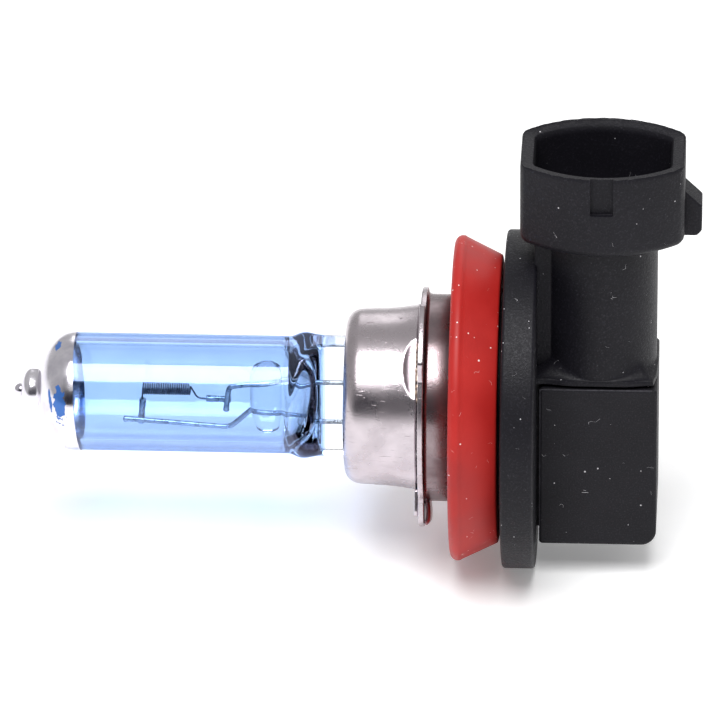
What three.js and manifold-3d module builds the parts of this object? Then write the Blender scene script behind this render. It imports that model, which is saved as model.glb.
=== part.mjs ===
// Halogen headlight bulb with a right-angle plastic base. Millimetres, +Z up.
// Origin: on the bulb's axis, in the plane of the locating ring's bearing face.
// +X runs from the glass tip towards the base, and +Z points out of the connector socket.

import * as THREE from 'three';
import { mergeVertices } from 'three/addons/utils/BufferGeometryUtils.js';
import Module from 'manifold-3d';

const wasm = await Module();
wasm.setup();

// ---------------------------------------------------------------- driving dimensions

// Glass. Lengths run along the bulb's axis.
const glassRadius = 5.7;
const glassWall = 1.0;
const clearLength = 2.3;
const flareLength = 3.2;
const flareRise = 0.4;
const tubeLength = 21.0;
const domeDepth = 3.65;
const knobRadius = 2.05;
const knobLength = 1.7;
const nibRadius = 0.6;
const nibLength = 0.75;
const cavityEndDepth = 3.0;
const cavityEndWall = 1.0;
const pinchThickness = 3.6;
const pinchSquareness = 4;
const pinchLength = 11.4;

// Layers on the glass.
const coatThickness = 0.06;
const coatGap = 0.03;
const coatJointGap = 0.1;
const blueCoatInset = 0.15;

// Filament and its leads. The light centre is measured from the bearing plane.
const lightCentre = 25.4;
const coilLength = 4.55;
const coilRadius = 0.55;
const coilTurns = 20;
const coilZ = 0.44;
const filamentWireRadius = 0.08;
const leadWireRadius = 0.28;
const leadSpacing = 4.29;
const leadOffsetZ = -0.385;
const longLeadReach = 2.05;
const shortLeadReach = 3.5;
const sleeveRadius = 0.33;
const frontSleeveLength = 2.8;
const rearSleeveLength = 2.4;
const bridgeSetback = 2.15;
const bridgeRadius = 1.7;
const bridgeEndRadius = 1.25;
const bridgeTopGap = 1.35;
const bridgeBottomGap = 0.55;
const leadWallGap = 0.94;
const wireClearance = 0.08;
const wireJointGap = 0.05;

// Drawn steel cup, clamp, locating ring and collar.
const sheetThickness = 0.45;
const cupLength = 7.15;
const cupFaceWidth = 0.6;
const cupCornerRadius = 1.6;
const cupTaper = 0.7;
const cupGlassClearance = 0.2;
const cupRingGap = 0.2;
const clampSetback = 5.3;
const clampThickness = 0.5;
const clampBandLength = 3.0;
const clampClearance = 0.15;
const ringThickness = 0.55;
const ringMargin = 1.55;
const ringSeatWidth = 0.7;
const lugReach = 1.95;
const lugWidth = 7.0;
const lugCount = 3;
const firstLugAngle = 208;
const collarInset = 0.65;
const collarLength = 4.4;
const collarGap = 0.03;

// Red seal.
const sealLength = 4.65;
const sealFrontDepth = 5.5;
const sealBackDepth = 3.7;
const sealLipRadius = 0.8;
const sealFit = 0.1;
const sealFlangeGap = 0.4;

// Plastic base: barrel, flange, terminal box, neck and connector socket.
const barrelStep = 0.2;
const barrelInset = 0.6;
const barrelClearance = 1.0;
const barrelFloor = 0.6;
const collarFit = 0.05;
const flangeThickness = 3.2;
const flangeMargin = 0.6;
const flangeEdge = 0.4;
const boxLength = 11.7;
const boxHalfDepth = 5.6;
const boxFlangeDrop = 3.5;
const coverTopZ = 4.1;
const coverWall = 1.1;
const coverCorner = 1.5;
const coverSeam = 0.3;
const coverFit = 0.15;
const ledgeThickness = 0.6;
const coreWall = 0.7;
const neckSetback = 6.0;
const neckRadius = 5.55;
const webHalfDepth = 3.0;
const webRoot = 0.3;
const socketHalfWidth = 7.9;
const socketHalfDepth = 6.8;
const socketArcRadius = 11.5;
const socketCorner = 1.6;
const socketWall = 1.4;
const socketHeight = 8.5;
const socketFlangeGap = 2.4;
const socketFloor = 1.0;
const keywayWidth = 2.2;
const keywayHeight = 3.9;
const keywayDepth = 0.6;
const latchReach = 1.65;
const latchHalfWidth = 1.6;
const latchHeight = 4.8;
const latchSlope = 1.6;

// Terminals.
const bladeSpacing = 5.8;
const bladeWidth = 2.8;
const bladeThickness = 0.8;
const bladeSetdown = 4.0;
const bladeTaper = 0.9;
const bladeRoom = 0.25;
const leadOverlap = 2.4;
const leadEndGap = 0.2;
const terminalGap = 0.9;
const slotClearance = 0.1;
const pottingRise = 2.75;

// Fineness of the faceted shapes.
const turnedSides = 40;
const glassSides = 32;
const wireSides = 6;
const smallSides = 12;
const leadSteps = 36;
const cornerSteps = 4;
const flareSteps = 8;
const mergeDistance = 1e-4;
const overcut = 1.0;

// ---------------------------------------------------------------- derived places

// Along the axis: the cup stands in front of the ring, and the glass in front of the cup.
const cupRimX = -ringThickness - cupRingGap;
const cupFrontX = cupRimX - cupLength;
const flareRadius = glassRadius + flareRise;
const pinchWidth = 2 * flareRadius;
const cupHoleRadius = flareRadius + cupGlassClearance;
const cupFrontRadius = cupHoleRadius + cupFaceWidth + cupCornerRadius;
const cupRimRadius = cupFrontRadius + cupTaper;
const flareBackX = cupFrontX - clearLength;
const flareFrontX = flareBackX - flareLength;
const tubeFrontX = flareFrontX - tubeLength;
const knobBackX = tubeFrontX - domeDepth * Math.sqrt(1 - (knobRadius / glassRadius) ** 2);
const knobFrontX = knobBackX - knobLength;
const nibTipX = knobFrontX - nibLength;
const cavityRadius = glassRadius - glassWall;
const cavityEndX = flareBackX - cavityEndWall;
const pinchEndX = cupFrontX + pinchLength;
const clampX = cupFrontX + clampSetback;
const ringBore = cupRimRadius - ringSeatWidth;
const ringRadius = cupRimRadius + ringMargin;
const lugRadius = ringRadius + lugReach;
const collarRadius = ringRadius - collarInset;

// Filament, leads and sleeves.
const coilFrontX = -lightCentre - coilLength / 2;
const coilBackX = -lightCentre + coilLength / 2;
const shortLeadZ = leadOffsetZ + leadSpacing / 2;
const longLeadZ = leadOffsetZ - leadSpacing / 2;
const leadLowZ = -(cavityRadius - leadWallGap);
const sleeveSideY = leadWireRadius + sleeveRadius + wireJointGap;
const bridgeTopZ = cavityRadius - bridgeTopGap;
const bridgeBottomZ = -(cavityRadius - bridgeBottomGap);
const bridgeX = flareFrontX - bridgeSetback;

// Terminals start just behind the pinch, under the lead that each one carries.
const terminalStartX = pinchEndX + terminalGap;
const leadEndX = terminalStartX + leadOverlap;

// Base, from the ends of the leads backwards and upwards.
const barrelRadius = collarRadius + barrelStep;
const barrelBore = Math.hypot(pinchWidth, pinchThickness) / 2 + barrelClearance;
const barrelFloorX = leadEndX + leadEndGap;
const flangeFrontX = barrelFloorX + barrelFloor;
const flangeBackX = flangeFrontX + flangeThickness;
const sealBackX = flangeFrontX - sealFlangeGap;
const sealFrontX = sealBackX - sealLength;
const sealBore = barrelRadius + sealFit;
const sealFrontRadius = sealBore + sealFrontDepth;
const sealBackRadius = sealBore + sealBackDepth;
const flangeRadius = sealFrontRadius + flangeMargin;
const neckX = flangeBackX + neckSetback;
const boxEndX = flangeBackX + boxLength;
const coreEndX = boxEndX - coverWall - coverFit;
const chamberEndX = coreEndX - coreWall;
const socketX = chamberEndX - bladeRoom - (bladeSpacing + bladeThickness) / 2;
const coverBottomZ = boxFlangeDrop - flangeRadius;
const coreTopZ = coverTopZ + coverSeam;
const coreHalfDepth = boxHalfDepth - coverWall - coverFit;
const coreBottomZ = coverBottomZ + coverWall + coverFit;
const chamberHalfDepth = coreHalfDepth - coreWall;
const chamberTopZ = coreTopZ - coreWall;
const socketBottomZ = flangeRadius + socketFlangeGap;
const socketTopZ = socketBottomZ + socketHeight;
const socketFloorZ = socketBottomZ + socketFloor;
const latchTopZ = socketBottomZ + latchHeight;
const latchCrestZ = latchTopZ - latchSlope;

// Each terminal's leg lies just under its lead, and the compound fills the chamber round both.
const upperLegTopZ = shortLeadZ - leadWireRadius - wireClearance;
const lowerLegTopZ = longLeadZ - leadWireRadius - wireClearance;
const bladeTipZ = socketTopZ - bladeSetdown;
const pottingBottomZ = coreBottomZ + pottingRise;

// ---------------------------------------------------------------- shape helpers

// Closed mesh to manifold solid, with triangles that merging has flattened left out.
function solidFrom(geometry) {
  const bare = geometry.clone();
  bare.deleteAttribute('normal');
  bare.deleteAttribute('uv');
  const merged = mergeVertices(bare, mergeDistance);
  const index = merged.index.array;
  const triangles = [];
  for (let i = 0; i < index.length; i += 3) {
    const [a, b, c] = [index[i], index[i + 1], index[i + 2]];
    if (a !== b && b !== c && c !== a) triangles.push(a, b, c);
  }
  const vertProperties = Float32Array.from(merged.attributes.position.array);
  const triVerts = Uint32Array.from(triangles);
  return new wasm.Manifold(new wasm.Mesh({ numProp: 3, vertProperties, triVerts }));
}

function geometryFrom(solid) {
  const mesh = solid.getMesh();
  const geometry = new THREE.BufferGeometry();
  geometry.setAttribute('position', new THREE.BufferAttribute(mesh.vertProperties, 3));
  geometry.setIndex(new THREE.BufferAttribute(mesh.triVerts, 1));
  geometry.computeVertexNormals();
  return geometry;
}

// Points [x, radius] turned about the bulb's axis; the outside runs towards +X.
function turned(outline, sides = turnedSides) {
  const points = outline.map(([x, radius]) => new THREE.Vector2(radius, x));
  return new THREE.LatheGeometry(points, sides).rotateZ(-Math.PI / 2);
}

// A stretch of ellipse in the outline's plane, angles in degrees from +X towards the radius.
function ellipseStretch(centreX, centreRadius, halfX, halfRadius, fromAngle, toAngle, steps) {
  const points = [];
  for (let i = 0; i <= steps; i += 1) {
    const angle = THREE.MathUtils.degToRad(fromAngle + ((toAngle - fromAngle) * i) / steps);
    points.push([centreX + halfX * Math.cos(angle), centreRadius + halfRadius * Math.sin(angle)]);
  }
  return points;
}

function roundStretch(centreX, centreRadius, radius, fromAngle, toAngle, steps = cornerSteps) {
  return ellipseStretch(centreX, centreRadius, radius, radius, fromAngle, toAngle, steps);
}

// The outline moved outwards, square to itself; a point on the axis stays on the axis.
function movedOutline(outline, distance) {
  return outline.map(([x, radius], i) => {
    const here = new THREE.Vector2(x, radius);
    const before = new THREE.Vector2(...(outline[i - 1] ?? outline[i]));
    const after = new THREE.Vector2(...(outline[i + 1] ?? outline[i]));
    const into = here.clone().sub(before).normalize();
    const away = after.clone().sub(here).normalize();
    if (radius === 0) {
      return [x - distance, 0];
    }
    const along = into.clone().add(away).normalize();
    const edge = into.lengthSq() > 0 ? into : away;
    const stretch = distance / Math.max(along.dot(edge), 0.3);
    return [x - along.y * stretch, radius + along.x * stretch];
  });
}

// A thin shell between two offsets of one outline.
function turnedShell(outline, innerOffset, outerOffset, sides = turnedSides) {
  const outer = movedOutline(outline, outerOffset);
  const inner = movedOutline(outline, innerOffset).reverse();
  const closing = outline[0][1] === 0 ? [] : [outer[0]];
  return turned([...outer, ...inner, ...closing], sides);
}

// A closed skin through sections with the same number of points, each turning from +Y towards +Z.
function lofted(sections) {
  const count = sections[0].length;
  const triangles = [];
  for (let row = 0; row < sections.length - 1; row += 1) {
    for (let i = 0; i < count; i += 1) {
      const [a, b] = [row * count + i, row * count + ((i + 1) % count)];
      triangles.push(a, b, b + count, a, b + count, a + count);
    }
  }
  const last = (sections.length - 1) * count;
  for (let i = 1; i < count - 1; i += 1) {
    triangles.push(0, i + 1, i, last, last + i, last + i + 1);
  }
  const geometry = new THREE.BufferGeometry();
  geometry.setAttribute('position', new THREE.Float32BufferAttribute(sections.flat(2), 3));
  geometry.setIndex(triangles);
  return geometry;
}

function block(low, high) {
  const size = high.map((value, i) => value - low[i]);
  const centre = high.map((value, i) => (value + low[i]) / 2);
  return new THREE.BoxGeometry(...size).translate(...centre);
}

function shapeFrom(points) {
  return new THREE.Shape(points.map(([u, v]) => new THREE.Vector2(u, v)));
}

// A shape in the XZ plane with a thickness along Y, centred on the bulb's axis.
function sideExtrusion(shape, halfDepth) {
  const geometry = new THREE.ExtrudeGeometry(shape, { depth: 2 * halfDepth, bevelEnabled: false });
  return geometry.rotateX(Math.PI / 2).translate(0, halfDepth, 0);
}

// A shape in the YZ plane with its thickness along +X from startX.
function axialExtrusion(shape, startX, thickness) {
  const geometry = new THREE.ExtrudeGeometry(shape, { depth: thickness, bevelEnabled: false });
  const turn = new THREE.Matrix4().makeBasis(
    new THREE.Vector3(0, 1, 0),
    new THREE.Vector3(0, 0, 1),
    new THREE.Vector3(1, 0, 0),
  );
  return geometry.applyMatrix4(turn).translate(startX, 0, 0);
}

// A shape in the XY plane that rises from bottomZ to topZ.
function risingExtrusion(shape, bottomZ, topZ) {
  const geometry = new THREE.ExtrudeGeometry(shape, { depth: topZ - bottomZ, bevelEnabled: false });
  return geometry.translate(0, 0, bottomZ);
}

function roundShape(radius, sides) {
  const points = [];
  for (let i = 0; i < sides; i += 1) {
    const angle = (2 * Math.PI * i) / sides;
    points.push([radius * Math.cos(angle), radius * Math.sin(angle)]);
  }
  return shapeFrom(points);
}

function wireAlong(curve, radius, steps, sides = wireSides) {
  const options = { steps, extrudePath: curve, bevelEnabled: false };
  return new THREE.ExtrudeGeometry(roundShape(radius, sides), options);
}

// ---------------------------------------------------------------- glass and its layers

const knobEdge = knobLength / 2;
const domeStartAngle = 180 - THREE.MathUtils.radToDeg(Math.asin(knobRadius / glassRadius));
const domeOutline = [
  [nibTipX, 0],
  ...ellipseStretch(nibTipX + nibRadius, 0, nibRadius, nibRadius, 150, 90, 2),
  ...ellipseStretch(knobFrontX + knobEdge, nibRadius, knobEdge, knobRadius - nibRadius, 180, 90, 3),
  ...ellipseStretch(tubeFrontX, 0, domeDepth, glassRadius, domeStartAngle, 90, 5),
];

// The tube's section at x, moved outwards by an offset: round, then pressed flat and a little wider.
function glassSection(x, offset) {
  const share = THREE.MathUtils.smoothstep(x, flareFrontX, flareBackX);
  const halfY = THREE.MathUtils.lerp(glassRadius, pinchThickness / 2, share) + offset;
  const halfZ = THREE.MathUtils.lerp(glassRadius, flareRadius, share) + offset;
  const power = 2 + pinchSquareness * share;
  const points = [];
  for (let i = 0; i < glassSides; i += 1) {
    const angle = (2 * Math.PI * i) / glassSides;
    const [y, z] = [Math.cos(angle), Math.sin(angle)];
    const swell = (Math.abs(y) ** power + Math.abs(z) ** power) ** (-1 / power);
    points.push([x, halfY * y * swell, halfZ * z * swell]);
  }
  return points;
}

const flareStations = [];
for (let i = 0; i <= flareSteps; i += 1) {
  flareStations.push(flareFrontX + (flareLength * i) / flareSteps);
}

// Round from the nib to the flare, then a flat pinch that runs back through the cup.
function glassEnvelope() {
  const tube = turned([...domeOutline, [flareFrontX, glassRadius], [flareFrontX, 0]], glassSides);
  const plug = glassSection(flareFrontX - glassWall, -glassWall);
  const pinch = lofted([plug, ...[...flareStations, pinchEndX].map((x) => glassSection(x, 0))]);
  const cavity = turned([
    ...ellipseStretch(tubeFrontX, 0, domeDepth - glassWall, cavityRadius, 180, 90, 4),
    ...ellipseStretch(cavityEndX - cavityEndDepth, 0, cavityEndDepth, cavityRadius, 90, 0, 4),
  ].map(([x, radius]) => [x, Math.abs(radius) < mergeDistance ? 0 : radius]), glassSides);
  let glass = solidFrom(tube).add(solidFrom(pinch)).subtract(solidFrom(cavity));
  for (const leadZ of [shortLeadZ, longLeadZ]) {
    const holeStartX = cavityEndX - cavityEndDepth / 2;
    const holeLength = pinchEndX + overcut - holeStartX;
    const holeRadius = leadWireRadius + wireClearance;
    const hole = new THREE.CylinderGeometry(holeRadius, holeRadius, holeLength, smallSides);
    hole.rotateZ(Math.PI / 2).translate(holeStartX + holeLength / 2, 0, leadZ);
    glass = glass.subtract(solidFrom(hole));
  }
  return geometryFrom(glass);
}

function silverTipCoat() {
  return turnedShell(domeOutline, coatGap, coatGap + coatThickness, glassSides);
}

function blueFilterCoat() {
  const startX = tubeFrontX + coatJointGap;
  const endX = flareBackX + blueCoatInset;
  const skin = (stations, offset) => solidFrom(lofted(stations.map((x) => glassSection(x, offset))));
  const outside = skin([startX, ...flareStations, endX], coatGap + coatThickness);
  const inside = skin([startX - overcut, ...flareStations, endX + overcut], coatGap);
  return geometryFrom(outside.subtract(inside));
}

// ---------------------------------------------------------------- filament and leads

const longLeadFrontZ = leadLowZ + 0.68;
const sleeveFrontX = coilFrontX - 0.2;
const sleeveFrontBottomZ = longLeadFrontZ - 0.8;
const sleeveFrontTopZ = sleeveFrontBottomZ + frontSleeveLength;
const sleeveRearStartX = coilBackX + 1.55;
const sleeveRearEndX = sleeveRearStartX + rearSleeveLength;
const sleeveRearZ = coilZ - 1.4;

// One wire: down the front leg, back along the coil, and out through the rear leg.
function filamentCurve() {
  const points = [
    new THREE.Vector3(sleeveFrontX, sleeveSideY, sleeveFrontBottomZ + 0.4),
    new THREE.Vector3(sleeveFrontX, sleeveSideY, (sleeveFrontTopZ + sleeveFrontBottomZ) / 2),
    new THREE.Vector3(sleeveFrontX, sleeveSideY, sleeveFrontTopZ),
    new THREE.Vector3(coilFrontX - 0.12, coilRadius, coilZ - 0.7),
  ];
  const stepsPerTurn = 6;
  for (let i = 0; i <= coilTurns * stepsPerTurn; i += 1) {
    const angle = (2 * Math.PI * i) / stepsPerTurn;
    const x = coilFrontX + (coilLength * i) / (coilTurns * stepsPerTurn);
    points.push(new THREE.Vector3(x, coilRadius * Math.cos(angle), coilZ + coilRadius * Math.sin(angle)));
  }
  points.push(
    new THREE.Vector3(coilBackX + 0.3, sleeveSideY, coilZ - 0.6),
    new THREE.Vector3(coilBackX + 0.75, sleeveSideY, sleeveRearZ + 0.12),
    new THREE.Vector3(sleeveRearStartX - 0.1, sleeveSideY, sleeveRearZ),
    new THREE.Vector3((sleeveRearStartX + sleeveRearEndX) / 2, sleeveSideY, sleeveRearZ),
    new THREE.Vector3(sleeveRearEndX - 0.4, sleeveSideY, sleeveRearZ),
  );
  const curve = new THREE.CatmullRomCurve3(points);
  curve.arcLengthDivisions = 4000;
  return curve;
}

function filament() {
  return wireAlong(filamentCurve(), filamentWireRadius, 150, 5);
}

// A small tube that the leg is crimped into.
function legSleeve(length) {
  const bore = filamentWireRadius + wireClearance;
  const outline = [[0, sleeveRadius], [length, sleeveRadius], [length, bore], [0, bore], [0, sleeveRadius]];
  return turned(outline, smallSides);
}

function leadCurve(points) {
  const route = points.map(([x, z]) => new THREE.Vector3(x, 0, z));
  const curve = new THREE.CatmullRomCurve3(route, false, 'centripetal');
  curve.arcLengthDivisions = 1000;
  return curve;
}

// Under the coil to the front, up to the bridge, then straight through the pinch.
const longLead = leadCurve([
  [coilFrontX - longLeadReach, longLeadFrontZ],
  [-lightCentre + 1.0, longLeadFrontZ - 0.34],
  [bridgeX - 4.05, longLeadFrontZ - 0.68],
  [bridgeX - 3.55, longLeadFrontZ - 0.57],
  [bridgeX - 1.75, longLeadZ + 0.65],
  [bridgeX - 1.35, longLeadZ + 0.77],
  [bridgeX + 1.05, longLeadZ + 0.6],
  [flareFrontX + 1.2, longLeadZ + 0.13],
  [cavityEndX - 0.6, longLeadZ],
  [cavityEndX + 0.2, longLeadZ],
  [cupFrontX + pinchLength / 3, longLeadZ],
  [leadEndX, longLeadZ],
]);

// Bent down behind the coil to meet the rear leg.
const shortLeadFrontX = coilBackX + shortLeadReach;
const shortLead = leadCurve([
  [shortLeadFrontX, sleeveRearZ - 1.03],
  [shortLeadFrontX + 0.1, sleeveRearZ + 0.62],
  [shortLeadFrontX + 0.35, shortLeadZ - 1.16],
  [shortLeadFrontX + 1.05, shortLeadZ - 0.88],
  [bridgeX + 1.45, shortLeadZ - 0.22],
  [flareFrontX + 1.1, shortLeadZ - 0.04],
  [cavityEndX - 0.6, shortLeadZ],
  [cavityEndX + 0.2, shortLeadZ],
  [cupFrontX + pinchLength / 3, shortLeadZ],
  [leadEndX, shortLeadZ],
]);

function glassBridge() {
  const outline = [
    [bridgeBottomZ, 0],
    [bridgeBottomZ, bridgeEndRadius],
    [bridgeBottomZ * 0.7, (bridgeEndRadius + bridgeRadius) / 2],
    [bridgeBottomZ * 0.4, bridgeRadius],
    [bridgeTopZ * 0.8, bridgeRadius],
    [bridgeTopZ, bridgeEndRadius],
    [bridgeTopZ, 0],
  ];
  const bead = turned(outline, 20).rotateY(-Math.PI / 2).translate(bridgeX, 0, 0);
  let glass = solidFrom(bead);
  for (const lead of [longLead, shortLead]) {
    glass = glass.subtract(solidFrom(wireAlong(lead, leadWireRadius + wireClearance, leadSteps)));
  }
  return geometryFrom(glass);
}

// ---------------------------------------------------------------- steel pieces

const cupOutline = [
  [cupFrontX, cupHoleRadius],
  ...roundStretch(cupFrontX + cupCornerRadius, cupFrontRadius - cupCornerRadius, cupCornerRadius, 180, 90),
  [cupRimX, cupRimRadius],
];

function mountingCup() {
  return turnedShell(cupOutline, -sheetThickness, 0);
}

// A disc across the cup with a short band round the pinch.
function pinchClamp() {
  const holeY = pinchThickness / 2 + clampClearance;
  const holeZ = pinchWidth / 2 + clampClearance;
  const discRadius = cupFrontRadius - sheetThickness - clampClearance;
  const discBackX = clampX + clampThickness;
  const disc = turned([[clampX, 0], [clampX, discRadius], [discBackX, discRadius], [discBackX, 0]]);
  const band = block(
    [clampX - clampBandLength + clampThickness, -holeY - clampThickness, -holeZ - clampThickness],
    [clampX + clampThickness / 2, holeY + clampThickness, holeZ + clampThickness],
  );
  const hole = block(
    [clampX - clampBandLength - overcut, -holeY, -holeZ],
    [clampX + clampThickness + overcut, holeY, holeZ],
  );
  return geometryFrom(solidFrom(disc).add(solidFrom(band)).subtract(solidFrom(hole)));
}

// A flat stamping with three lugs, drawn as angles round the bulb's axis.
function locatingRing() {
  const points = [];
  const lugHalfAngle = Math.asin(lugWidth / 2 / lugRadius);
  const lugSteps = 4;
  const plainSteps = 10;
  const lugPitch = (2 * Math.PI) / lugCount;
  const toPoint = (angle, radius) => [radius * Math.sin(angle), radius * Math.cos(angle)];
  for (let lug = 0; lug < lugCount; lug += 1) {
    const centre = -THREE.MathUtils.degToRad(firstLugAngle) - lug * lugPitch;
    for (let i = 0; i <= lugSteps; i += 1) {
      const angle = centre + lugHalfAngle - (2 * lugHalfAngle * i) / lugSteps;
      points.push(toPoint(-angle, lugRadius));
    }
    const plainSpan = lugPitch - 2 * lugHalfAngle;
    for (let i = 0; i <= plainSteps; i += 1) {
      const angle = centre - lugHalfAngle - (plainSpan * i) / plainSteps;
      points.push(toPoint(-angle, ringRadius));
    }
  }
  const plate = shapeFrom(points);
  plate.holes.push(roundShape(ringBore, turnedSides));
  return axialExtrusion(plate, -ringThickness, ringThickness);
}

function ringCollar() {
  const outline = [[collarGap, collarRadius], [collarLength, collarRadius]];
  return turnedShell(outline, -sheetThickness, 0);
}

// ---------------------------------------------------------------- seal and plastic base

function sealRing() {
  return turned([
    [sealFrontX, sealBore],
    ...roundStretch(sealFrontX + sealLipRadius, sealFrontRadius - sealLipRadius, sealLipRadius, 180, 75),
    [sealBackX, sealBackRadius],
    [sealBackX, sealBore],
    [sealFrontX, sealBore],
  ]);
}

// The socket seen from above: two gently bowed long walls, two straight ends, rounded corners.
function socketOutline(inset) {
  const halfWidth = socketHalfWidth - inset;
  const arcRadius = socketArcRadius - inset;
  const corner = Math.max(socketCorner - inset / 2, 0.3);
  const bowCentre = socketHalfDepth - socketArcRadius;
  const cornerX = halfWidth - corner;
  const cornerY = bowCentre + Math.sqrt((arcRadius - corner) ** 2 - cornerX ** 2);
  const meetAngle = Math.atan2(cornerY - bowCentre, cornerX);
  const quarter = [];
  for (let i = 0; i <= cornerSteps; i += 1) {
    const angle = (meetAngle * i) / cornerSteps;
    quarter.push([cornerX + corner * Math.cos(angle), cornerY + corner * Math.sin(angle)]);
  }
  for (let i = 1; i <= cornerSteps; i += 1) {
    const angle = meetAngle + ((Math.PI / 2 - meetAngle) * i) / cornerSteps;
    quarter.push([arcRadius * Math.cos(angle), bowCentre + arcRadius * Math.sin(angle)]);
  }
  const farLeft = quarter.slice(0, -1).reverse().map(([x, y]) => [-x, y]);
  const nearLeft = quarter.map(([x, y]) => [-x, -y]);
  const nearRight = quarter.slice(0, -1).reverse().map(([x, y]) => [x, -y]);
  return shapeFrom([...quarter, ...farLeft, ...nearLeft, ...nearRight].map(([x, y]) => [x + socketX, y]));
}

// Barrel inside the collar, barrel under the seal, then the flange with eased edges.
function barrelAndFlange() {
  const spigotRadius = collarRadius - sheetThickness - collarFit;
  return solidFrom(turned([
    [barrelFloorX, 0],
    [barrelFloorX, barrelBore],
    [barrelInset, barrelBore],
    [barrelInset, spigotRadius],
    [collarLength + collarFit, spigotRadius],
    [collarLength + collarFit, barrelRadius],
    [flangeFrontX, barrelRadius],
    ...roundStretch(flangeFrontX + flangeEdge, flangeRadius - flangeEdge, flangeEdge, 180, 90, 2),
    ...roundStretch(flangeBackX - flangeEdge, flangeRadius - flangeEdge, flangeEdge, 90, 0, 2),
    [flangeBackX, 0],
  ]));
}

function terminalShape(bladeX, legTopZ, clearance) {
  const half = bladeThickness / 2 + clearance;
  const startX = terminalStartX - clearance;
  const legBottomZ = legTopZ - bladeThickness - clearance;
  const tip = bladeTipZ - bladeTaper;
  return shapeFrom([
    [startX, legBottomZ],
    [bladeX + half, legBottomZ],
    [bladeX + half, tip],
    [bladeX + half / 2, bladeTipZ],
    [bladeX - half / 2, bladeTipZ],
    [bladeX - half, tip],
    [bladeX - half, legTopZ + clearance],
    [startX, legTopZ + clearance],
  ]);
}

// A blade bent square: one leg along the bulb's axis, the other up into the socket.
function terminal(side, legTopZ, clearance = 0) {
  const shape = terminalShape(socketX + (side * bladeSpacing) / 2, legTopZ, clearance);
  return sideExtrusion(shape, bladeWidth / 2 + clearance);
}

function cutTerminalSlots(solid, clearance) {
  return solid
    .subtract(solidFrom(terminal(-1, upperLegTopZ, clearance)))
    .subtract(solidFrom(terminal(1, lowerLegTopZ, clearance)));
}

function latchRamp() {
  const wallX = socketX + socketHalfWidth;
  const shape = shapeFrom([
    [wallX - socketWall / 2, socketBottomZ],
    [wallX + latchReach, socketBottomZ + 0.2],
    [wallX + latchReach, latchCrestZ],
    [wallX, latchTopZ],
    [wallX - socketWall / 2, latchTopZ],
  ]);
  return sideExtrusion(shape, latchHalfWidth);
}

function baseBody() {
  const rootX = flangeBackX - overcut;
  const ledgeTopZ = coreTopZ + ledgeThickness;
  const core = block(
    [rootX, -coreHalfDepth, coreBottomZ],
    [coreEndX, coreHalfDepth, ledgeTopZ - slotClearance],
  );
  const ledge = block([rootX, -boxHalfDepth, coreTopZ], [boxEndX, boxHalfDepth, ledgeTopZ]);
  const neckTopZ = socketFloorZ - 0.2;
  const neck = new THREE.CylinderGeometry(neckRadius, neckRadius, neckTopZ - coreTopZ, turnedSides);
  neck.rotateX(Math.PI / 2).translate(neckX, 0, (neckTopZ + coreTopZ) / 2);
  const web = block([flangeBackX - webRoot, -webHalfDepth, coreTopZ], [neckX, webHalfDepth, neckTopZ]);
  const socket = risingExtrusion(socketOutline(0), socketBottomZ, socketTopZ);
  const socketHollow = risingExtrusion(socketOutline(socketWall), socketFloorZ, socketTopZ + overcut);
  const chamber = block(
    [flangeBackX, -chamberHalfDepth, coreBottomZ - overcut],
    [chamberEndX, chamberHalfDepth, chamberTopZ],
  );
  const keyway = block(
    [socketX - keywayWidth / 2, -socketHalfDepth - overcut, socketTopZ - keywayHeight],
    [socketX + keywayWidth / 2, -socketHalfDepth + keywayDepth, socketTopZ + overcut],
  );
  const plastic = barrelAndFlange()
    .add(solidFrom(core))
    .add(solidFrom(ledge))
    .add(solidFrom(neck))
    .add(solidFrom(web))
    .add(solidFrom(socket))
    .add(solidFrom(latchRamp()))
    .subtract(solidFrom(socketHollow))
    .subtract(solidFrom(chamber))
    .subtract(solidFrom(keyway));
  return geometryFrom(cutTerminalSlots(plastic, slotClearance));
}

// A box seen from the side, rounded below its free end.
function coverProfile(inset, startX, topZ) {
  const endX = boxEndX - inset;
  const bottomZ = coverBottomZ + inset;
  const corner = Math.max(coverCorner - inset, 0.3);
  const rounding = roundStretch(endX - corner, bottomZ + corner, corner, -90, 0);
  return shapeFrom([[startX, topZ], [startX, bottomZ], ...rounding, [endX, topZ]]);
}

// A cap that is open towards the flange and towards the neck.
function terminalCover() {
  const outside = sideExtrusion(coverProfile(0, flangeBackX + coverSeam, coverTopZ), boxHalfDepth);
  const hollow = coverProfile(coverWall, flangeBackX - overcut, coverTopZ + overcut);
  const inside = sideExtrusion(hollow, boxHalfDepth - coverWall);
  return geometryFrom(solidFrom(outside).subtract(solidFrom(inside)));
}

function pottingCompound() {
  const filling = block(
    [flangeBackX + slotClearance, -chamberHalfDepth + slotClearance, pottingBottomZ],
    [chamberEndX - slotClearance, chamberHalfDepth - slotClearance, chamberTopZ - slotClearance],
  );
  return geometryFrom(cutTerminalSlots(solidFrom(filling), slotClearance / 2));
}

// ---------------------------------------------------------------- materials and assembly

function finish(color, roughness, metalness) {
  return new THREE.MeshStandardMaterial({ color, roughness, metalness });
}

const finishes = {
  clearGlass: finish('#e9eef4', 0.05, 0),
  blueCoat: finish('#9cc4fa', 0.1, 0),
  silverCoat: finish('#d8d0da', 0.25, 0.9),
  tungsten: finish('#55565c', 0.45, 0.9),
  leadWire: finish('#8e9298', 0.4, 0.9),
  steel: finish('#b5a8ae', 0.32, 1),
  redSilicone: finish('#c42a28', 0.55, 0),
  blackPlastic: finish('#2b2a31', 0.6, 0),
  tinnedBrass: finish('#c9c4b4', 0.3, 1),
  potting: finish('#3a342e', 0.5, 0),
};

const bulb = new THREE.Group();

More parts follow.
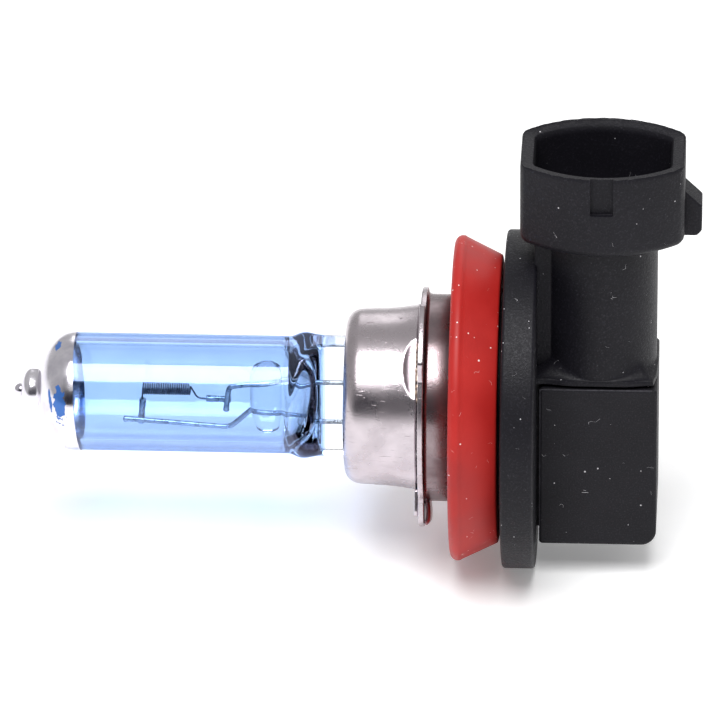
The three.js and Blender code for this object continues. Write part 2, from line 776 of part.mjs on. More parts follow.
function addPiece(name, geometry, material) {
  const mesh = new THREE.Mesh(geometry, material);
  mesh.name = name;
  bulb.add(mesh);
  return mesh;
}

addPiece('glass_envelope', glassEnvelope(), finishes.clearGlass);
addPiece('blue_filter_coat', blueFilterCoat(), finishes.blueCoat);
addPiece('silver_tip_coat', silverTipCoat(), finishes.silverCoat);
addPiece('filament', filament(), finishes.tungsten);
addPiece('long_lead_wire', wireAlong(longLead, leadWireRadius, leadSteps), finishes.leadWire);
addPiece('short_lead_wire', wireAlong(shortLead, leadWireRadius, leadSteps), finishes.leadWire);
addPiece('glass_bridge', glassBridge(), finishes.clearGlass);
addPiece('pinch_clamp', pinchClamp(), finishes.steel);
addPiece('mounting_cup', mountingCup(), finishes.steel);
addPiece('locating_ring', locatingRing(), finishes.steel);
addPiece('ring_collar', ringCollar(), finishes.steel);
addPiece('seal_ring', sealRing(), finishes.redSilicone);
addPiece('base_body', baseBody(), finishes.blackPlastic);
addPiece('terminal_cover', terminalCover(), finishes.blackPlastic);
addPiece('upper_terminal', terminal(-1, upperLegTopZ), finishes.tinnedBrass);
addPiece('lower_terminal', terminal(1, lowerLegTopZ), finishes.tinnedBrass);
addPiece('potting_compound', pottingCompound(), finishes.potting);

const frontSleeve = addPiece('front_leg_sleeve', legSleeve(frontSleeveLength), finishes.leadWire);
frontSleeve.rotation.y = -Math.PI / 2;
frontSleeve.position.set(sleeveFrontX, sleeveSideY, sleeveFrontBottomZ);

const rearSleeve = addPiece('rear_leg_sleeve', legSleeve(rearSleeveLength), finishes.leadWire);
rearSleeve.position.set(sleeveRearStartX, sleeveSideY, sleeveRearZ);

export default bulb;
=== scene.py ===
# %% [markdown]
# # A right-angle halogen headlight bulb
# The bulb is a glass tube held by a steel cup, a steel locating ring with a red seal behind it, and a
# black moulded base with a connector socket. The measured model is loaded first and never changed.
# Each cell then makes one finer piece in the same place and hides the measured piece that it stands for.

# %% Load the measured model
import math

import bmesh
import bpy
import numpy as np
from mathutils import Matrix, Quaternion, Vector, noise


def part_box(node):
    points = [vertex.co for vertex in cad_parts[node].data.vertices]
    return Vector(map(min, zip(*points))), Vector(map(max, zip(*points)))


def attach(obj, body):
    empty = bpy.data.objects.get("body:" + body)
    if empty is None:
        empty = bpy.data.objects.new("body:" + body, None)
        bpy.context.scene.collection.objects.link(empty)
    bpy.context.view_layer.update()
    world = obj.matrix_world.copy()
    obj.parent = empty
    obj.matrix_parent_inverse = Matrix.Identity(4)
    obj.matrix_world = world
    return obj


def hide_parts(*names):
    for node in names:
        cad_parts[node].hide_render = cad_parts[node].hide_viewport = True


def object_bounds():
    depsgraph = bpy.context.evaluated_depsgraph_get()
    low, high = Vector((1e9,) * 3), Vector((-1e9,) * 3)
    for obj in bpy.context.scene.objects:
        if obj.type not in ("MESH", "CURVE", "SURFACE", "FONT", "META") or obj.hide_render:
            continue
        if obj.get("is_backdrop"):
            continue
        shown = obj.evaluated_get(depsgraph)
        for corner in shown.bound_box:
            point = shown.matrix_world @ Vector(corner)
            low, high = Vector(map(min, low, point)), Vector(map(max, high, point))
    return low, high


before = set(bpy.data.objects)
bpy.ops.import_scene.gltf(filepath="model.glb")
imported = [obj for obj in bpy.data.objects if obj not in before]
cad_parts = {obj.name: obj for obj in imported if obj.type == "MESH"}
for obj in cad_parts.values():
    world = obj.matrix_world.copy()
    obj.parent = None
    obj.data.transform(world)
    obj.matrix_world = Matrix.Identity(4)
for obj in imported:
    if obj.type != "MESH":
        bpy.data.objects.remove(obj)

MM = 0.001
cad_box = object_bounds()
print("nodes:", len(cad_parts))

# %% [markdown]
# ## Camera
# The bulb lies across the view and is seen a little from above, so that the socket's mouth is open to
# the eye. A long lens from far away keeps its edges nearly parallel, as in a catalogue picture.

# %% Camera
VIEW_AZIMUTH = math.radians(3.0)
VIEW_ELEVATION = math.radians(28.0)
VIEW_ROLL = math.radians(-0.4)
CAMERA_DISTANCE = 0.9
VIEW_WIDTH = 69.0 * MM
AIM = Vector((-7.0, 0.0, 4.5)) * MM

camera_data = bpy.data.cameras.new("camera")
camera_data.sensor_width = 36.0
camera_data.lens = camera_data.sensor_width * CAMERA_DISTANCE / VIEW_WIDTH
camera_data.clip_start = 0.05
camera = bpy.data.objects.new("camera", camera_data)
bpy.context.scene.collection.objects.link(camera)
outward = Vector((
    math.sin(VIEW_AZIMUTH) * math.cos(VIEW_ELEVATION),
    -math.cos(VIEW_AZIMUTH) * math.cos(VIEW_ELEVATION),
    math.sin(VIEW_ELEVATION),
))
camera.location = AIM + outward * CAMERA_DISTANCE
camera.rotation_mode = "QUATERNION"
camera.rotation_quaternion = outward.to_track_quat("Z", "Y") @ Quaternion((0, 0, 1), VIEW_ROLL)
bpy.context.scene.camera = camera
bpy.context.scene.view_settings.view_transform = "Standard"
print("lens in mm:", round(camera_data.lens))

# %% [markdown]
# ## Sizes from the measured model
# Every place comes from the boxes of the measured pieces, in millimetres. The axis of the bulb is the
# X axis, so a turned piece needs only its two ends and its radius.

# %% Sizes in millimetres
def ends(node):
    """Lowest and highest corner of a measured piece, in millimetres."""
    low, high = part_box(node)
    return low / MM, high / MM


glass_low, glass_high = ends("glass_envelope")
coat_low, coat_high = ends("blue_filter_coat")
_, silver_high = ends("silver_tip_coat")
cup_low, cup_high = ends("mounting_cup")
ring_low, _ = ends("locating_ring")
_, collar_high = ends("ring_collar")
seal_low, seal_high = ends("seal_ring")
body_low, body_high = ends("base_body")
cover_low, cover_high = ends("terminal_cover")
print("length over all in mm:", round(body_high.x - glass_low.x, 1))

# %% [markdown]
# ## Making shapes
# Almost every piece is turned, so one helper turns an outline about the bulb's axis. A second helper
# rounds the corners of an outline, because no moulded or pressed edge is truly sharp, and a third
# lofts a skin through a row of closed sections.

# %% Helpers for outlines
def eased(corners, closed=True, steps=4):
    """Corners (x, y, radius) to points, each corner rounded to its radius."""
    points = []
    last = len(corners) - 1
    for i, (x, y, radius) in enumerate(corners):
        here = np.array((x, y), float)
        if radius == 0 or (not closed and i in (0, last)):
            points.append((x, y))
            continue
        before = np.array(corners[i - 1][:2], float) - here
        after = np.array(corners[(i + 1) % len(corners)][:2], float) - here
        length_before, length_after = np.linalg.norm(before), np.linalg.norm(after)
        before, after = before / length_before, after / length_after
        half = math.acos(np.clip(before @ after, -1, 1)) / 2
        cut = min(radius / math.tan(half), 0.49 * length_before, 0.49 * length_after)
        true_radius = cut * math.tan(half)
        middle = before + after
        centre = here + middle / np.linalg.norm(middle) * true_radius / math.sin(half)
        start = here + before * cut - centre
        stop = here + after * cut - centre
        turn = math.atan2(start[0] * stop[1] - start[1] * stop[0], start @ stop)
        for k in range(steps + 1):
            angle = turn * k / steps
            c, s = math.cos(angle), math.sin(angle)
            points.append((centre[0] + c * start[0] - s * start[1], centre[1] + s * start[0] + c * start[1]))
    return points


def curve_points(centre_x, centre_r, half_x, half_r, start, stop, steps):
    """A stretch of ellipse, angles in degrees from +X towards the radius."""
    angles = np.radians(np.linspace(start, stop, steps + 1))
    return [(centre_x + half_x * math.cos(a), centre_r + half_r * math.sin(a)) for a in angles]


# %% Helpers for meshes
def linked(name, mesh):
    piece = bpy.data.objects.new(name, mesh)
    bpy.context.scene.collection.objects.link(piece)
    return piece


def mesh_piece(name, points, faces, crease=35.0):
    """An object from points in millimetres; edges sharper than the crease angle stay crisp."""
    mesh = bpy.data.meshes.new(name)
    mesh.from_pydata([tuple(Vector(p) * MM) for p in points], [], faces)
    mesh.validate()
    mesh.shade_smooth()
    mesh.set_sharp_from_angle(angle=math.radians(crease))
    return linked(name, mesh)


def turned(outline, sides=128, closed=False):
    """Points and faces of an outline [(x, radius)] turned about the X axis, its outside running to +X."""
    points, rows = [], []
    for x, radius in outline:
        if radius < 1e-6:
            rows.append([len(points)] * sides)
            points.append((x, 0, 0))
            continue
        rows.append(list(range(len(points), len(points) + sides)))
        for k in range(sides):
            angle = 2 * math.pi * k / sides
            points.append((x, radius * math.sin(angle), radius * math.cos(angle)))
    faces = []
    pairs = list(zip(rows, rows[1:] + ([rows[0]] if closed else [])))
    for row, following in (pairs if closed else pairs[: len(rows) - 1]):
        for k in range(sides):
            n = (k + 1) % sides
            face = [row[k], following[k], following[n], row[n]]
            face = [v for i, v in enumerate(face) if v != face[i - 1]]
            if len(face) > 2:
                faces.append(face)
    return points, faces


def joined(*shapes):
    """Several (points, faces) pairs as one."""
    points, faces = [], []
    for shape_points, shape_faces in shapes:
        offset = len(points)
        points += list(shape_points)
        faces += [[v + offset for v in face] for face in shape_faces]
    return points, faces


def flipped(shape):
    return shape[0], [face[::-1] for face in shape[1]]


def lofted(sections, cap_start=True, cap_stop=True):
    """A skin through closed sections with the same number of points."""
    count = len(sections[0])
    points = [tuple(p) for section in sections for p in section]
    faces = []
    for i in range(len(sections) - 1):
        for k in range(count):
            n = (k + 1) % count
            faces.append([i * count + k, i * count + n, (i + 1) * count + n, (i + 1) * count + k])
    if cap_start:
        faces.append(list(range(count))[::-1])
    if cap_stop:
        faces.append([(len(sections) - 1) * count + k for k in range(count)])
    return points, faces


def swept(route, radii, sides=12):
    """A wire of the given radii along a route, with closed ends."""
    route = [Vector(p) for p in route]
    sections = []
    side = None
    for i, here in enumerate(route):
        along = (route[min(i + 1, len(route) - 1)] - route[max(i - 1, 0)]).normalized()
        if side is None:
            side = along.orthogonal().normalized()
        side = (side - along * side.dot(along)).normalized()
        up = along.cross(side)
        ring = []
        for k in range(sides):
            angle = 2 * math.pi * k / sides
            ring.append(here + (side * math.cos(angle) + up * math.sin(angle)) * radii[i])
        sections.append(ring)
    return lofted(sections)


def smooth_route(corners, per_span=10):
    """A smooth route through corner points."""
    pts = [Vector(corners[0])] + [Vector(c) for c in corners] + [Vector(corners[-1])]
    route = []
    for a, b, c, d in zip(pts, pts[1:], pts[2:], pts[3:]):
        for k in range(per_span):
            t = k / per_span
            route.append(0.5 * (2 * b + (c - a) * t + (2 * a - 5 * b + 4 * c - d) * t * t
                                + (3 * b - a - 3 * c + d) * t ** 3))
    return route + [pts[-1]]


def combine(base, other, operation):
    """Joins other to base, or cuts it away, and removes other."""
    modifier = base.modifiers.new("combine", "BOOLEAN")
    modifier.operation = operation
    modifier.solver = "MANIFOLD"
    modifier.object = other
    graph = bpy.context.evaluated_depsgraph_get()
    mesh = bpy.data.meshes.new_from_object(base.evaluated_get(graph))
    base.modifiers.clear()
    base.data = mesh
    bpy.data.objects.remove(other)


LARGE_FACE_AREA = 12 * MM * MM


def crisp(piece, crease=35.0):
    """Smooth shading that keeps sharp edges and lets the large flat faces stay flat."""
    piece.data.shade_smooth()
    piece.data.set_sharp_from_angle(angle=math.radians(crease))
    for face in piece.data.polygons:
        if face.area > LARGE_FACE_AREA:
            face.use_smooth = False
    weighted = piece.modifiers.new("flat_faces", "WEIGHTED_NORMAL")
    weighted.keep_sharp = True
    weighted.weight = 80


def finished(piece, material, *nodes, slot=None):
    """Gives a piece its material and body, and hides the measured pieces that it stands for."""
    piece.data.materials.clear()
    piece.data.materials.append(material)
    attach(piece, "root")
    if nodes:
        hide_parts(*nodes)
    print(piece.name, "faces:", len(piece.data.polygons))
    return piece


# %% [markdown]
# ## Making materials
# A material is a small tree of nodes. One helper adds a node with its settings and its links. Patterns
# are laid out in the piece's own coordinates, in metres, so a grain of 0.2 mm is a scale of 5000.

# %% Helpers for materials
def linear(hex_colour):
    """An sRGB hex colour as linear red, green, blue and alpha."""
    channels = [int(hex_colour[i:i + 2], 16) / 255 for i in (1, 3, 5)]
    return [c / 12.92 if c <= 0.04045 else ((c + 0.055) / 1.055) ** 2.4 for c in channels] + [1.0]


def add_node(tree, kind, settings=None, **inputs):
    """Adds a node. An input is a value or another node's output; i0 is the first input by number.
    A colour band's setting is a list of (position, hex colour)."""
    node = tree.nodes.new(kind)
    for key, value in (settings or {}).items():
        if key == "color_ramp":
            while len(node.color_ramp.elements) < len(value):
                node.color_ramp.elements.new(0.5)
            for element, (position, colour) in zip(node.color_ramp.elements, value):
                element.position = position
                element.color = linear(colour)
        else:
            setattr(node, key, value)
    for key, value in inputs.items():
        by_number = key[0] == "i" and key[1:].isdigit()
        socket = node.inputs[int(key[1:]) if by_number else key.replace("_", " ")]
        if isinstance(value, bpy.types.NodeSocket):
            tree.links.new(value, socket)
        else:
            socket.default_value = value
    return node


def new_material(name):
    material = bpy.data.materials.new(name)
    material.use_nodes = True
    material.node_tree.nodes.clear()
    tree = material.node_tree
    place = add_node(tree, "ShaderNodeTexCoord").outputs["Object"]
    return material, tree, place


def show(tree, shader):
    add_node(tree, "ShaderNodeOutputMaterial", Surface=shader)


def per_mm(size):
    """Pattern scale for features of this many millimetres."""
    return 1 / (size * MM)


# %% [markdown]
# ## Floor, backdrop and light
# A bulb is shown on white paper. Clear glass and satin steel take their look from what they mirror, so
# the room matters as much as the materials: white paper all round, one large soft box above, and a
# darker side where the viewer stands, which draws the soft dark band across the steel.

# %% Paper floor
FLOOR_GAP = 0.05


def paper():
    """Matte white paper, lit through a little from below, so shadows on it stay faint."""
    material, tree, place = new_material("matte_white_paper")
    fibres = add_node(tree, "ShaderNodeTexNoise", Vector=place, Scale=per_mm(2.0), Detail=3.0)
    tone = add_node(
        tree, "ShaderNodeValToRGB", {"color_ramp": [(0.3, "#f7f7f8"), (0.7, "#fbfbfb")]},
        Fac=fibres.outputs["Fac"],
    ).outputs["Color"]
    shader = add_node(tree, "ShaderNodeBsdfPrincipled", Base_Color=tone, Roughness=0.9,
                      Emission_Color=linear("#ffffff"), Emission_Strength=0.2)
    show(tree, shader.outputs["BSDF"])
    return material


floor_z = cad_box[0][2] / MM - FLOOR_GAP
half = 1500
floor = mesh_piece(
    "paper_floor",
    [(-half, -half, floor_z), (half, -half, floor_z), (half, half, floor_z), (-half, half, floor_z)],
    [[0, 1, 2, 3]],
)
floor.data.materials.append(paper())
floor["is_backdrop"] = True
print("floor height in mm:", round(floor_z, 2))

# %% Room light
world = bpy.data.worlds.new("white_room")
world.use_nodes = True
bpy.context.scene.world = world
room = world.node_tree
room.nodes.clear()
direction = add_node(room, "ShaderNodeTexCoord").outputs["Generated"]
apart = add_node(room, "ShaderNodeSeparateXYZ", Vector=direction)
toward_viewer = add_node(
    room, "ShaderNodeMapRange", Value=apart.outputs["Y"],
    From_Min=-0.9, From_Max=-0.45, To_Min=1.0, To_Max=0.0,
).outputs["Result"]
shade = add_node(
    room, "ShaderNodeValToRGB", {"color_ramp": [(0.0, "#ffffff"), (1.0, "#50505a")]},
    Fac=toward_viewer,
).outputs["Color"]
background = add_node(room, "ShaderNodeBackground", Color=shade, Strength=0.5)
add_node(room, "ShaderNodeOutputWorld", Surface=background.outputs["Background"])


def soft_box(name, direction, distance, width, height, brightness):
    """A rectangular soft light that faces the bulb; brightness is what a mirror would see."""
    data = bpy.data.lights.new(name, "AREA")
    data.shape = "RECTANGLE"
    data.size = width
    data.size_y = height
    data.energy = brightness * math.pi * width * height
    lamp = bpy.data.objects.new(name, data)
    bpy.context.scene.collection.objects.link(lamp)
    toward = Vector(direction).normalized()
    lamp.location = toward * distance
    lamp.rotation_mode = "QUATERNION"
    lamp.rotation_quaternion = toward.to_track_quat("Z", "Y")
    return lamp


soft_box("overhead_soft_box", (-0.03, -0.42, 0.9), 0.5, 0.30, 0.32, 9.0)
soft_box("back_soft_box", (0.2, 0.85, 0.5), 0.7, 0.6, 0.3, 1.2)

# %% [markdown]
# ## Glass
# The bulb is a hard glass tube, closed by a dome with a pinched-off filling nib at its tip and pressed
# flat round the wires at its back. Light must cross two walls, so the outside and the hollow are both
# modelled, with the hollow's faces turned inwards.

# %% Outline of the glass
GLASS_WALL = 1.0
TUBE_RADIUS = 5.7
FLARE_RISE = 0.4
tube_front_x = silver_high.x + 0.01
cup_front_x = cup_low.x
flare_back_x = cup_front_x - 2.3
flare_front_x = flare_back_x - 3.2
tip_x = glass_low.x
KNOB_RADIUS = 2.05
KNOB_LENGTH = 1.7
NIB_RADIUS = 0.6
NIB_LENGTH = 0.75
DOME_DEPTH = 3.65
dome_start = 180 - math.degrees(math.asin(KNOB_RADIUS / TUBE_RADIUS))
knob_front_x = tip_x + NIB_LENGTH
knob_back_x = knob_front_x + KNOB_LENGTH

dome_outline = (
    curve_points(tip_x + 0.62, 0, 0.62, NIB_RADIUS, 180, 75, 10)
    + curve_points(knob_front_x + 0.95, 0.2, 1.0, KNOB_RADIUS - 0.2, 160, 92, 12)
    + [(knob_back_x - 0.25, KNOB_RADIUS), (knob_back_x - 0.08, KNOB_RADIUS + 0.05)]
    + curve_points(tube_front_x, 0, DOME_DEPTH, TUBE_RADIUS, dome_start - 2, 90, 28)
)
tube_outline = [(tube_front_x + i * (flare_front_x - tube_front_x) / 12, TUBE_RADIUS) for i in range(1, 13)]
print("points in the dome's outline:", len(dome_outline))

# %% [markdown]
# Behind the coil the soft tube is pressed flat round the wires. It gets wider as it gets thinner, so a
# loft from the round section to a flat bar with rounded edges gives that pinch, which a turned shape
# alone couldn't. The hollow closes in the same stretch and is flattened with it.

# %% Glass bulb
PINCH_HALF_THICKNESS = 1.8
PINCH_HALF_WIDTH = TUBE_RADIUS + FLARE_RISE
PINCH_SQUARENESS = 4
HOLLOW_END_DEPTH = 3.0
SIDES = 128


def pressed(x):
    """0 where the tube is round, 1 where it is flat."""
    share = min(max((x - flare_front_x) / (flare_back_x - flare_front_x), 0), 1)
    return share * share * (3 - 2 * share)


def glass_section(x, offset=0.0):
    """The tube's cross-section at x, moved outwards by an offset."""
    share = pressed(x)
    half_y = TUBE_RADIUS + (PINCH_HALF_THICKNESS - TUBE_RADIUS) * share + offset
    half_z = TUBE_RADIUS + (PINCH_HALF_WIDTH - TUBE_RADIUS) * share + offset
    power = 2 + PINCH_SQUARENESS * share
    section = []
    for k in range(SIDES):
        angle = 2 * math.pi * k / SIDES
        y, z = math.sin(angle), math.cos(angle)
        swell = (abs(y) ** power + abs(z) ** power) ** (-1 / power)
        section.append((x, half_y * y * swell, half_z * z * swell))
    return section


def extended(shape, sections):
    """Goes on from a turned shape's last row through more sections, and closes the end."""
    points, faces = shape
    ring = list(range(len(points) - SIDES, len(points)))
    for section in sections:
        following = list(range(len(points), len(points) + SIDES))
        points += section
        faces += [
            [ring[k], following[k], following[(k + 1) % SIDES], ring[(k + 1) % SIDES]]
            for k in range(SIDES)
        ]
        ring = following
    faces.append(ring[::-1])
    return points, faces


flare_stations = [flare_front_x + (flare_back_x - flare_front_x) * i / 24 for i in range(1, 25)]


def hollow_shape():
    inner = TUBE_RADIUS - GLASS_WALL
    end_x = flare_back_x - 1.0
    outline = (
        [(tube_front_x - DOME_DEPTH + GLASS_WALL, 0)]
        + curve_points(tube_front_x, 0, DOME_DEPTH - GLASS_WALL, inner, 176, 90, 20)
        + [(tube_front_x + i * 1.5, inner) for i in range(1, 13)]
        + curve_points(end_x - HOLLOW_END_DEPTH, 0, HOLLOW_END_DEPTH, inner, 90, 4, 22)
        + [(end_x, 0)]
    )
    points, faces = turned(outline, SIDES)
    return [(x, y * (1 - 0.55 * pressed(x)), z) for x, y, z in points], faces


def glass_shapes():
    sections = [glass_section(x) for x in flare_stations + [cup_front_x, glass_high.x - 0.3]]
    end = [(glass_high.x, y * 0.93, z * 0.98) for _, y, z in sections[-1]]
    outside = extended(turned(dome_outline + tube_outline, SIDES), sections + [end])
    return joined(outside, flipped(hollow_shape()))


def clear_glass(name, bending=1.49):
    """Hard glass, drawn and flame-worked: smooth, so it shows only reflections and bent light."""
    material, tree, place = new_material(name)
    waves = add_node(tree, "ShaderNodeTexNoise", Vector=place, Scale=per_mm(4.0), Detail=2.0)
    bump = add_node(tree, "ShaderNodeBump", Strength=0.03, Distance=0.2 * MM, Height=waves.outputs["Fac"])
    glass = add_node(
        tree, "ShaderNodeBsdfPrincipled",
        Base_Color=linear("#fbfcff"), Roughness=0.0, IOR=bending, Transmission_Weight=1.0,
        Normal=bump.outputs["Normal"],
    )
    open_air = add_node(tree, "ShaderNodeBsdfTransparent", Color=linear("#f4f6fa"))
    path = add_node(tree, "ShaderNodeLightPath")
    mixed = add_node(
        tree, "ShaderNodeMixShader", i0=path.outputs["Is Shadow Ray"],
        i1=glass.outputs["BSDF"], i2=open_air.outputs["BSDF"],
    )
    show(tree, mixed.outputs["Shader"])
    return material


glass_material = clear_glass("hard_glass_flame_worked")
glass = mesh_piece("glass_bulb", *glass_shapes())
finished(glass, glass_material, "glass_envelope", slot="clear_glass")

# %% [markdown]
# ## Blue filter coat
# A filter layer on the outside of the tube takes out some of the yellow light. It could be a tinted
# glass, but then its colour would be as deep in the thick pinch as in the wall. A thin clear shell that
# tints what passes keeps the colour even and stops cleanly at its edge.

# %% Blue coat
COAT_GAP = 0.02
COAT_THICKNESS = 0.03


def shell_of(outline, gap, thickness):
    """A thin closed skin outside an outline."""
    outer, inner = [], []
    for i, (x, radius) in enumerate(outline):
        before = Vector(outline[max(i - 1, 0)])
        after = Vector(outline[min(i + 1, len(outline) - 1)])
        along = (after - before).normalized()
        out = Vector((-along.y, along.x))
        if radius < 1e-6:
            out = Vector((-1, 0))
            radius = 0
        outer.append((x + out.x * (gap + thickness), max(radius + out.y * (gap + thickness), 0)))
        inner.append((x + out.x * gap, max(radius + out.y * gap, 0)))
    return outer + inner[::-1]


def blue_filter():
    """Oxide layers, dipped or sprayed: clear, slightly mottled, with a soft violet gloss."""
    material, tree, place = new_material("blue_filter_layers_on_glass")
    mottle = add_node(tree, "ShaderNodeTexNoise", Vector=place, Scale=per_mm(3.0), Detail=4.0)
    tint = add_node(
        tree, "ShaderNodeValToRGB", {"color_ramp": [(0.3, "#e2efff"), (0.7, "#e6f2ff")]},
        Fac=mottle.outputs["Fac"],
    ).outputs["Color"]
    through = add_node(tree, "ShaderNodeBsdfTransparent", Color=tint)
    gloss = add_node(tree, "ShaderNodeBsdfGlossy", Color=linear("#e8e4ff"), Roughness=0.03)
    facing = add_node(tree, "ShaderNodeLayerWeight", Blend=0.3).outputs["Facing"]
    share = add_node(
        tree, "ShaderNodeMapRange", Value=facing, From_Min=0.0, From_Max=1.0, To_Min=0.02, To_Max=0.22,
    ).outputs["Result"]
    coat = add_node(
        tree, "ShaderNodeMixShader", i0=share, i1=through.outputs["BSDF"], i2=gloss.outputs["BSDF"],
    )
    show(tree, coat.outputs["Shader"])
    return material


def blue_shape():
    """A closed skin along the tube and over the first part of the pinch."""
    stations = [coat_low.x + 0.02] + [x for x, _ in tube_outline] + flare_stations + [coat_high.x]
    outer = [glass_section(x, COAT_GAP + COAT_THICKNESS) for x in stations]
    inner = [glass_section(x, COAT_GAP) for x in stations]
    points, faces = lofted(outer + inner[::-1], False, False)
    last = (2 * len(stations) - 1) * SIDES
    faces += [[last + k, last + (k + 1) % SIDES, (k + 1) % SIDES, k] for k in range(SIDES)]
    return points, [face[::-1] for face in faces]


blue = mesh_piece("blue_coat", *blue_shape())
finished(blue, blue_filter(), "blue_filter_coat", slot="blue_coat")

# %% [markdown]
# ## Silvered tip
# The dome carries a mirror layer that stops direct glare. It is sprayed or dipped last, so its edge
# runs a little unevenly and small chips show the blue under it. The chips are worked out in the
# material from their places on the dome, because they have no depth that the eye could see.

# %% Silver coat
def chip(tree, place, noise_value, centre, size, lean):
    """A ragged patch: 1 inside, 0 outside, at a place and of a size in millimetres."""
    offset = add_node(
        tree, "ShaderNodeVectorMath", {"operation": "SUBTRACT"}, i0=place,
        i1=tuple(c * MM for c in centre),
    )
    turned_offset = add_node(tree, "ShaderNodeVectorRotate", {"rotation_type": "Y_AXIS"},
                             Vector=offset.outputs["Vector"], Angle=math.radians(lean))
    scaled = add_node(tree, "ShaderNodeVectorMath", {"operation": "MULTIPLY"},
                      i0=turned_offset.outputs["Vector"], i1=tuple(1 / (s * MM) for s in size))
    reach = add_node(tree, "ShaderNodeVectorMath", {"operation": "LENGTH"}, i0=scaled.outputs["Vector"])
    ragged = add_node(tree, "ShaderNodeMath", {"operation": "ADD"}, i0=reach.outputs["Value"], i1=noise_value)
    return add_node(
        tree, "ShaderNodeMapRange", Value=ragged.outputs["Value"],
        From_Min=0.97, From_Max=1.03, To_Min=1.0, To_Max=0.0,
    ).outputs["Result"]


def silvering():
    """Vacuum or chemical silver on glass: a bright mirror with a fine haze and chipped spots."""
    material, tree, place = new_material("silver_mirror_layer_on_glass")
    grain = add_node(tree, "ShaderNodeTexNoise", Vector=place, Scale=per_mm(0.16), Detail=3.0)
    cloud = add_node(tree, "ShaderNodeTexNoise", Vector=place, Scale=per_mm(1.6), Detail=4.0)
    rag = add_node(tree, "ShaderNodeTexNoise", Vector=place, Scale=per_mm(0.45), Detail=4.0)
    rag_amount = add_node(
        tree, "ShaderNodeMapRange", Value=rag.outputs["Fac"],
        From_Min=0.3, From_Max=0.7, To_Min=-0.35, To_Max=0.35,
    ).outputs["Result"]
    chips = [
        chip(tree, place, rag_amount, (-35.45, -5.3, 1.2), (0.55, 3.0, 1.75), 4),
        chip(tree, place, rag_amount, (-35.85, -0.6, 5.25), (0.32, 0.75, 2.0), 0),
        chip(tree, place, rag_amount, (-36.4, -4.8, 1.3), (0.16, 2.0, 1.1), 8),
    ]
    bare = chips[0]
    for other in chips[1:]:
        bare = add_node(tree, "ShaderNodeMath", {"operation": "MAXIMUM"}, i0=bare, i1=other).outputs["Value"]
    haze = add_node(
        tree, "ShaderNodeMapRange", Value=cloud.outputs["Fac"],
        From_Min=0.35, From_Max=0.7, To_Min=0.10, To_Max=0.30,
    ).outputs["Result"]
    tone = add_node(
        tree, "ShaderNodeValToRGB", {"color_ramp": [(0.3, "#d3cfda"), (0.7, "#eeebf2")]},
        Fac=cloud.outputs["Fac"],
    ).outputs["Color"]
    bump = add_node(tree, "ShaderNodeBump", Strength=0.10, Distance=0.03 * MM, Height=grain.outputs["Fac"])
    mirror = add_node(
        tree, "ShaderNodeBsdfPrincipled", Base_Color=tone, Metallic=1.0,
        Roughness=haze, Normal=bump.outputs["Normal"],
    )
    under = add_node(
        tree, "ShaderNodeBsdfPrincipled", Base_Color=linear("#3d6cb6"), Roughness=0.12, IOR=1.49,
        Metallic=0.35,
    )
    mixed = add_node(
        tree, "ShaderNodeMixShader", i0=bare, i1=mirror.outputs["BSDF"], i2=under.outputs["BSDF"],
    )
    show(tree, mixed.outputs["Shader"])
    return material


silver_outline = dome_outline + [(tube_front_x + 0.25, TUBE_RADIUS), (tube_front_x + 0.5, TUBE_RADIUS)]
silver = mesh_piece(
    "silver_tip",
    *turned(shell_of(silver_outline, COAT_GAP + COAT_THICKNESS + 0.01, COAT_THICKNESS), 192),
)


def settle_silver_edge(piece):
    """Lets the edge of the dip run on further below than above, with small ripples."""
    rim_x = tube_front_x
    for vertex in piece.data.vertices:
        x, y, z = vertex.co / MM
        if x > rim_x - 0.2:
            angle = math.atan2(z, y)
            run = 0.12 - 0.42 * z / TUBE_RADIUS * (0.6 if z > 0 else 1.0)
            run += 0.06 * noise.noise(Vector((math.cos(angle) * 2, math.sin(angle) * 2, 3.1)))
            share = min((x - rim_x + 0.2) / 0.6, 1)
            vertex.co.x = (x + (run - 0.25) * share) * MM


settle_silver_edge(silver)
finished(silver, silvering(), "silver_tip_coat", slot="silver_coat")

# %% [markdown]
# ## Filament and its wires
# The filament is a close coil of tungsten. Its two legs are crimped in small sleeves, and each sleeve
# is welded to a stiff lead wire. All of them are round sections swept along a route, so the coil is a
# true helix and not a striped rod.

# %% Tungsten coil
COIL_FRONT, COIL_BACK = -27.7, -23.1
COIL_RADIUS = 0.55
COIL_Z = 0.44
COIL_TURNS = 21
SIDE_Y = 0.66


def drawn_wire(name, dark, light, roughness):
    """Drawn metal wire: faint lines along it and a dull sheen from heating."""
    material, tree, place = new_material(name)
    patches = add_node(tree, "ShaderNodeTexNoise", Vector=place, Scale=per_mm(0.5), Detail=4.0)
    tone = add_node(
        tree, "ShaderNodeValToRGB", {"color_ramp": [(0.3, dark), (0.7, light)]},
        Fac=patches.outputs["Fac"],
    ).outputs["Color"]
    dull = add_node(
        tree, "ShaderNodeMapRange", Value=patches.outputs["Fac"],
        From_Min=0.3, From_Max=0.7, To_Min=roughness - 0.08, To_Max=roughness + 0.1,
    ).outputs["Result"]
    bump = add_node(tree, "ShaderNodeBump", Strength=0.2, Distance=0.02 * MM, Height=patches.outputs["Fac"])
    wire = add_node(tree, "ShaderNodeBsdfPrincipled", Base_Color=tone, Metallic=1.0, Roughness=dull,
                    Normal=bump.outputs["Normal"])
    show(tree, wire.outputs["BSDF"])
    return material


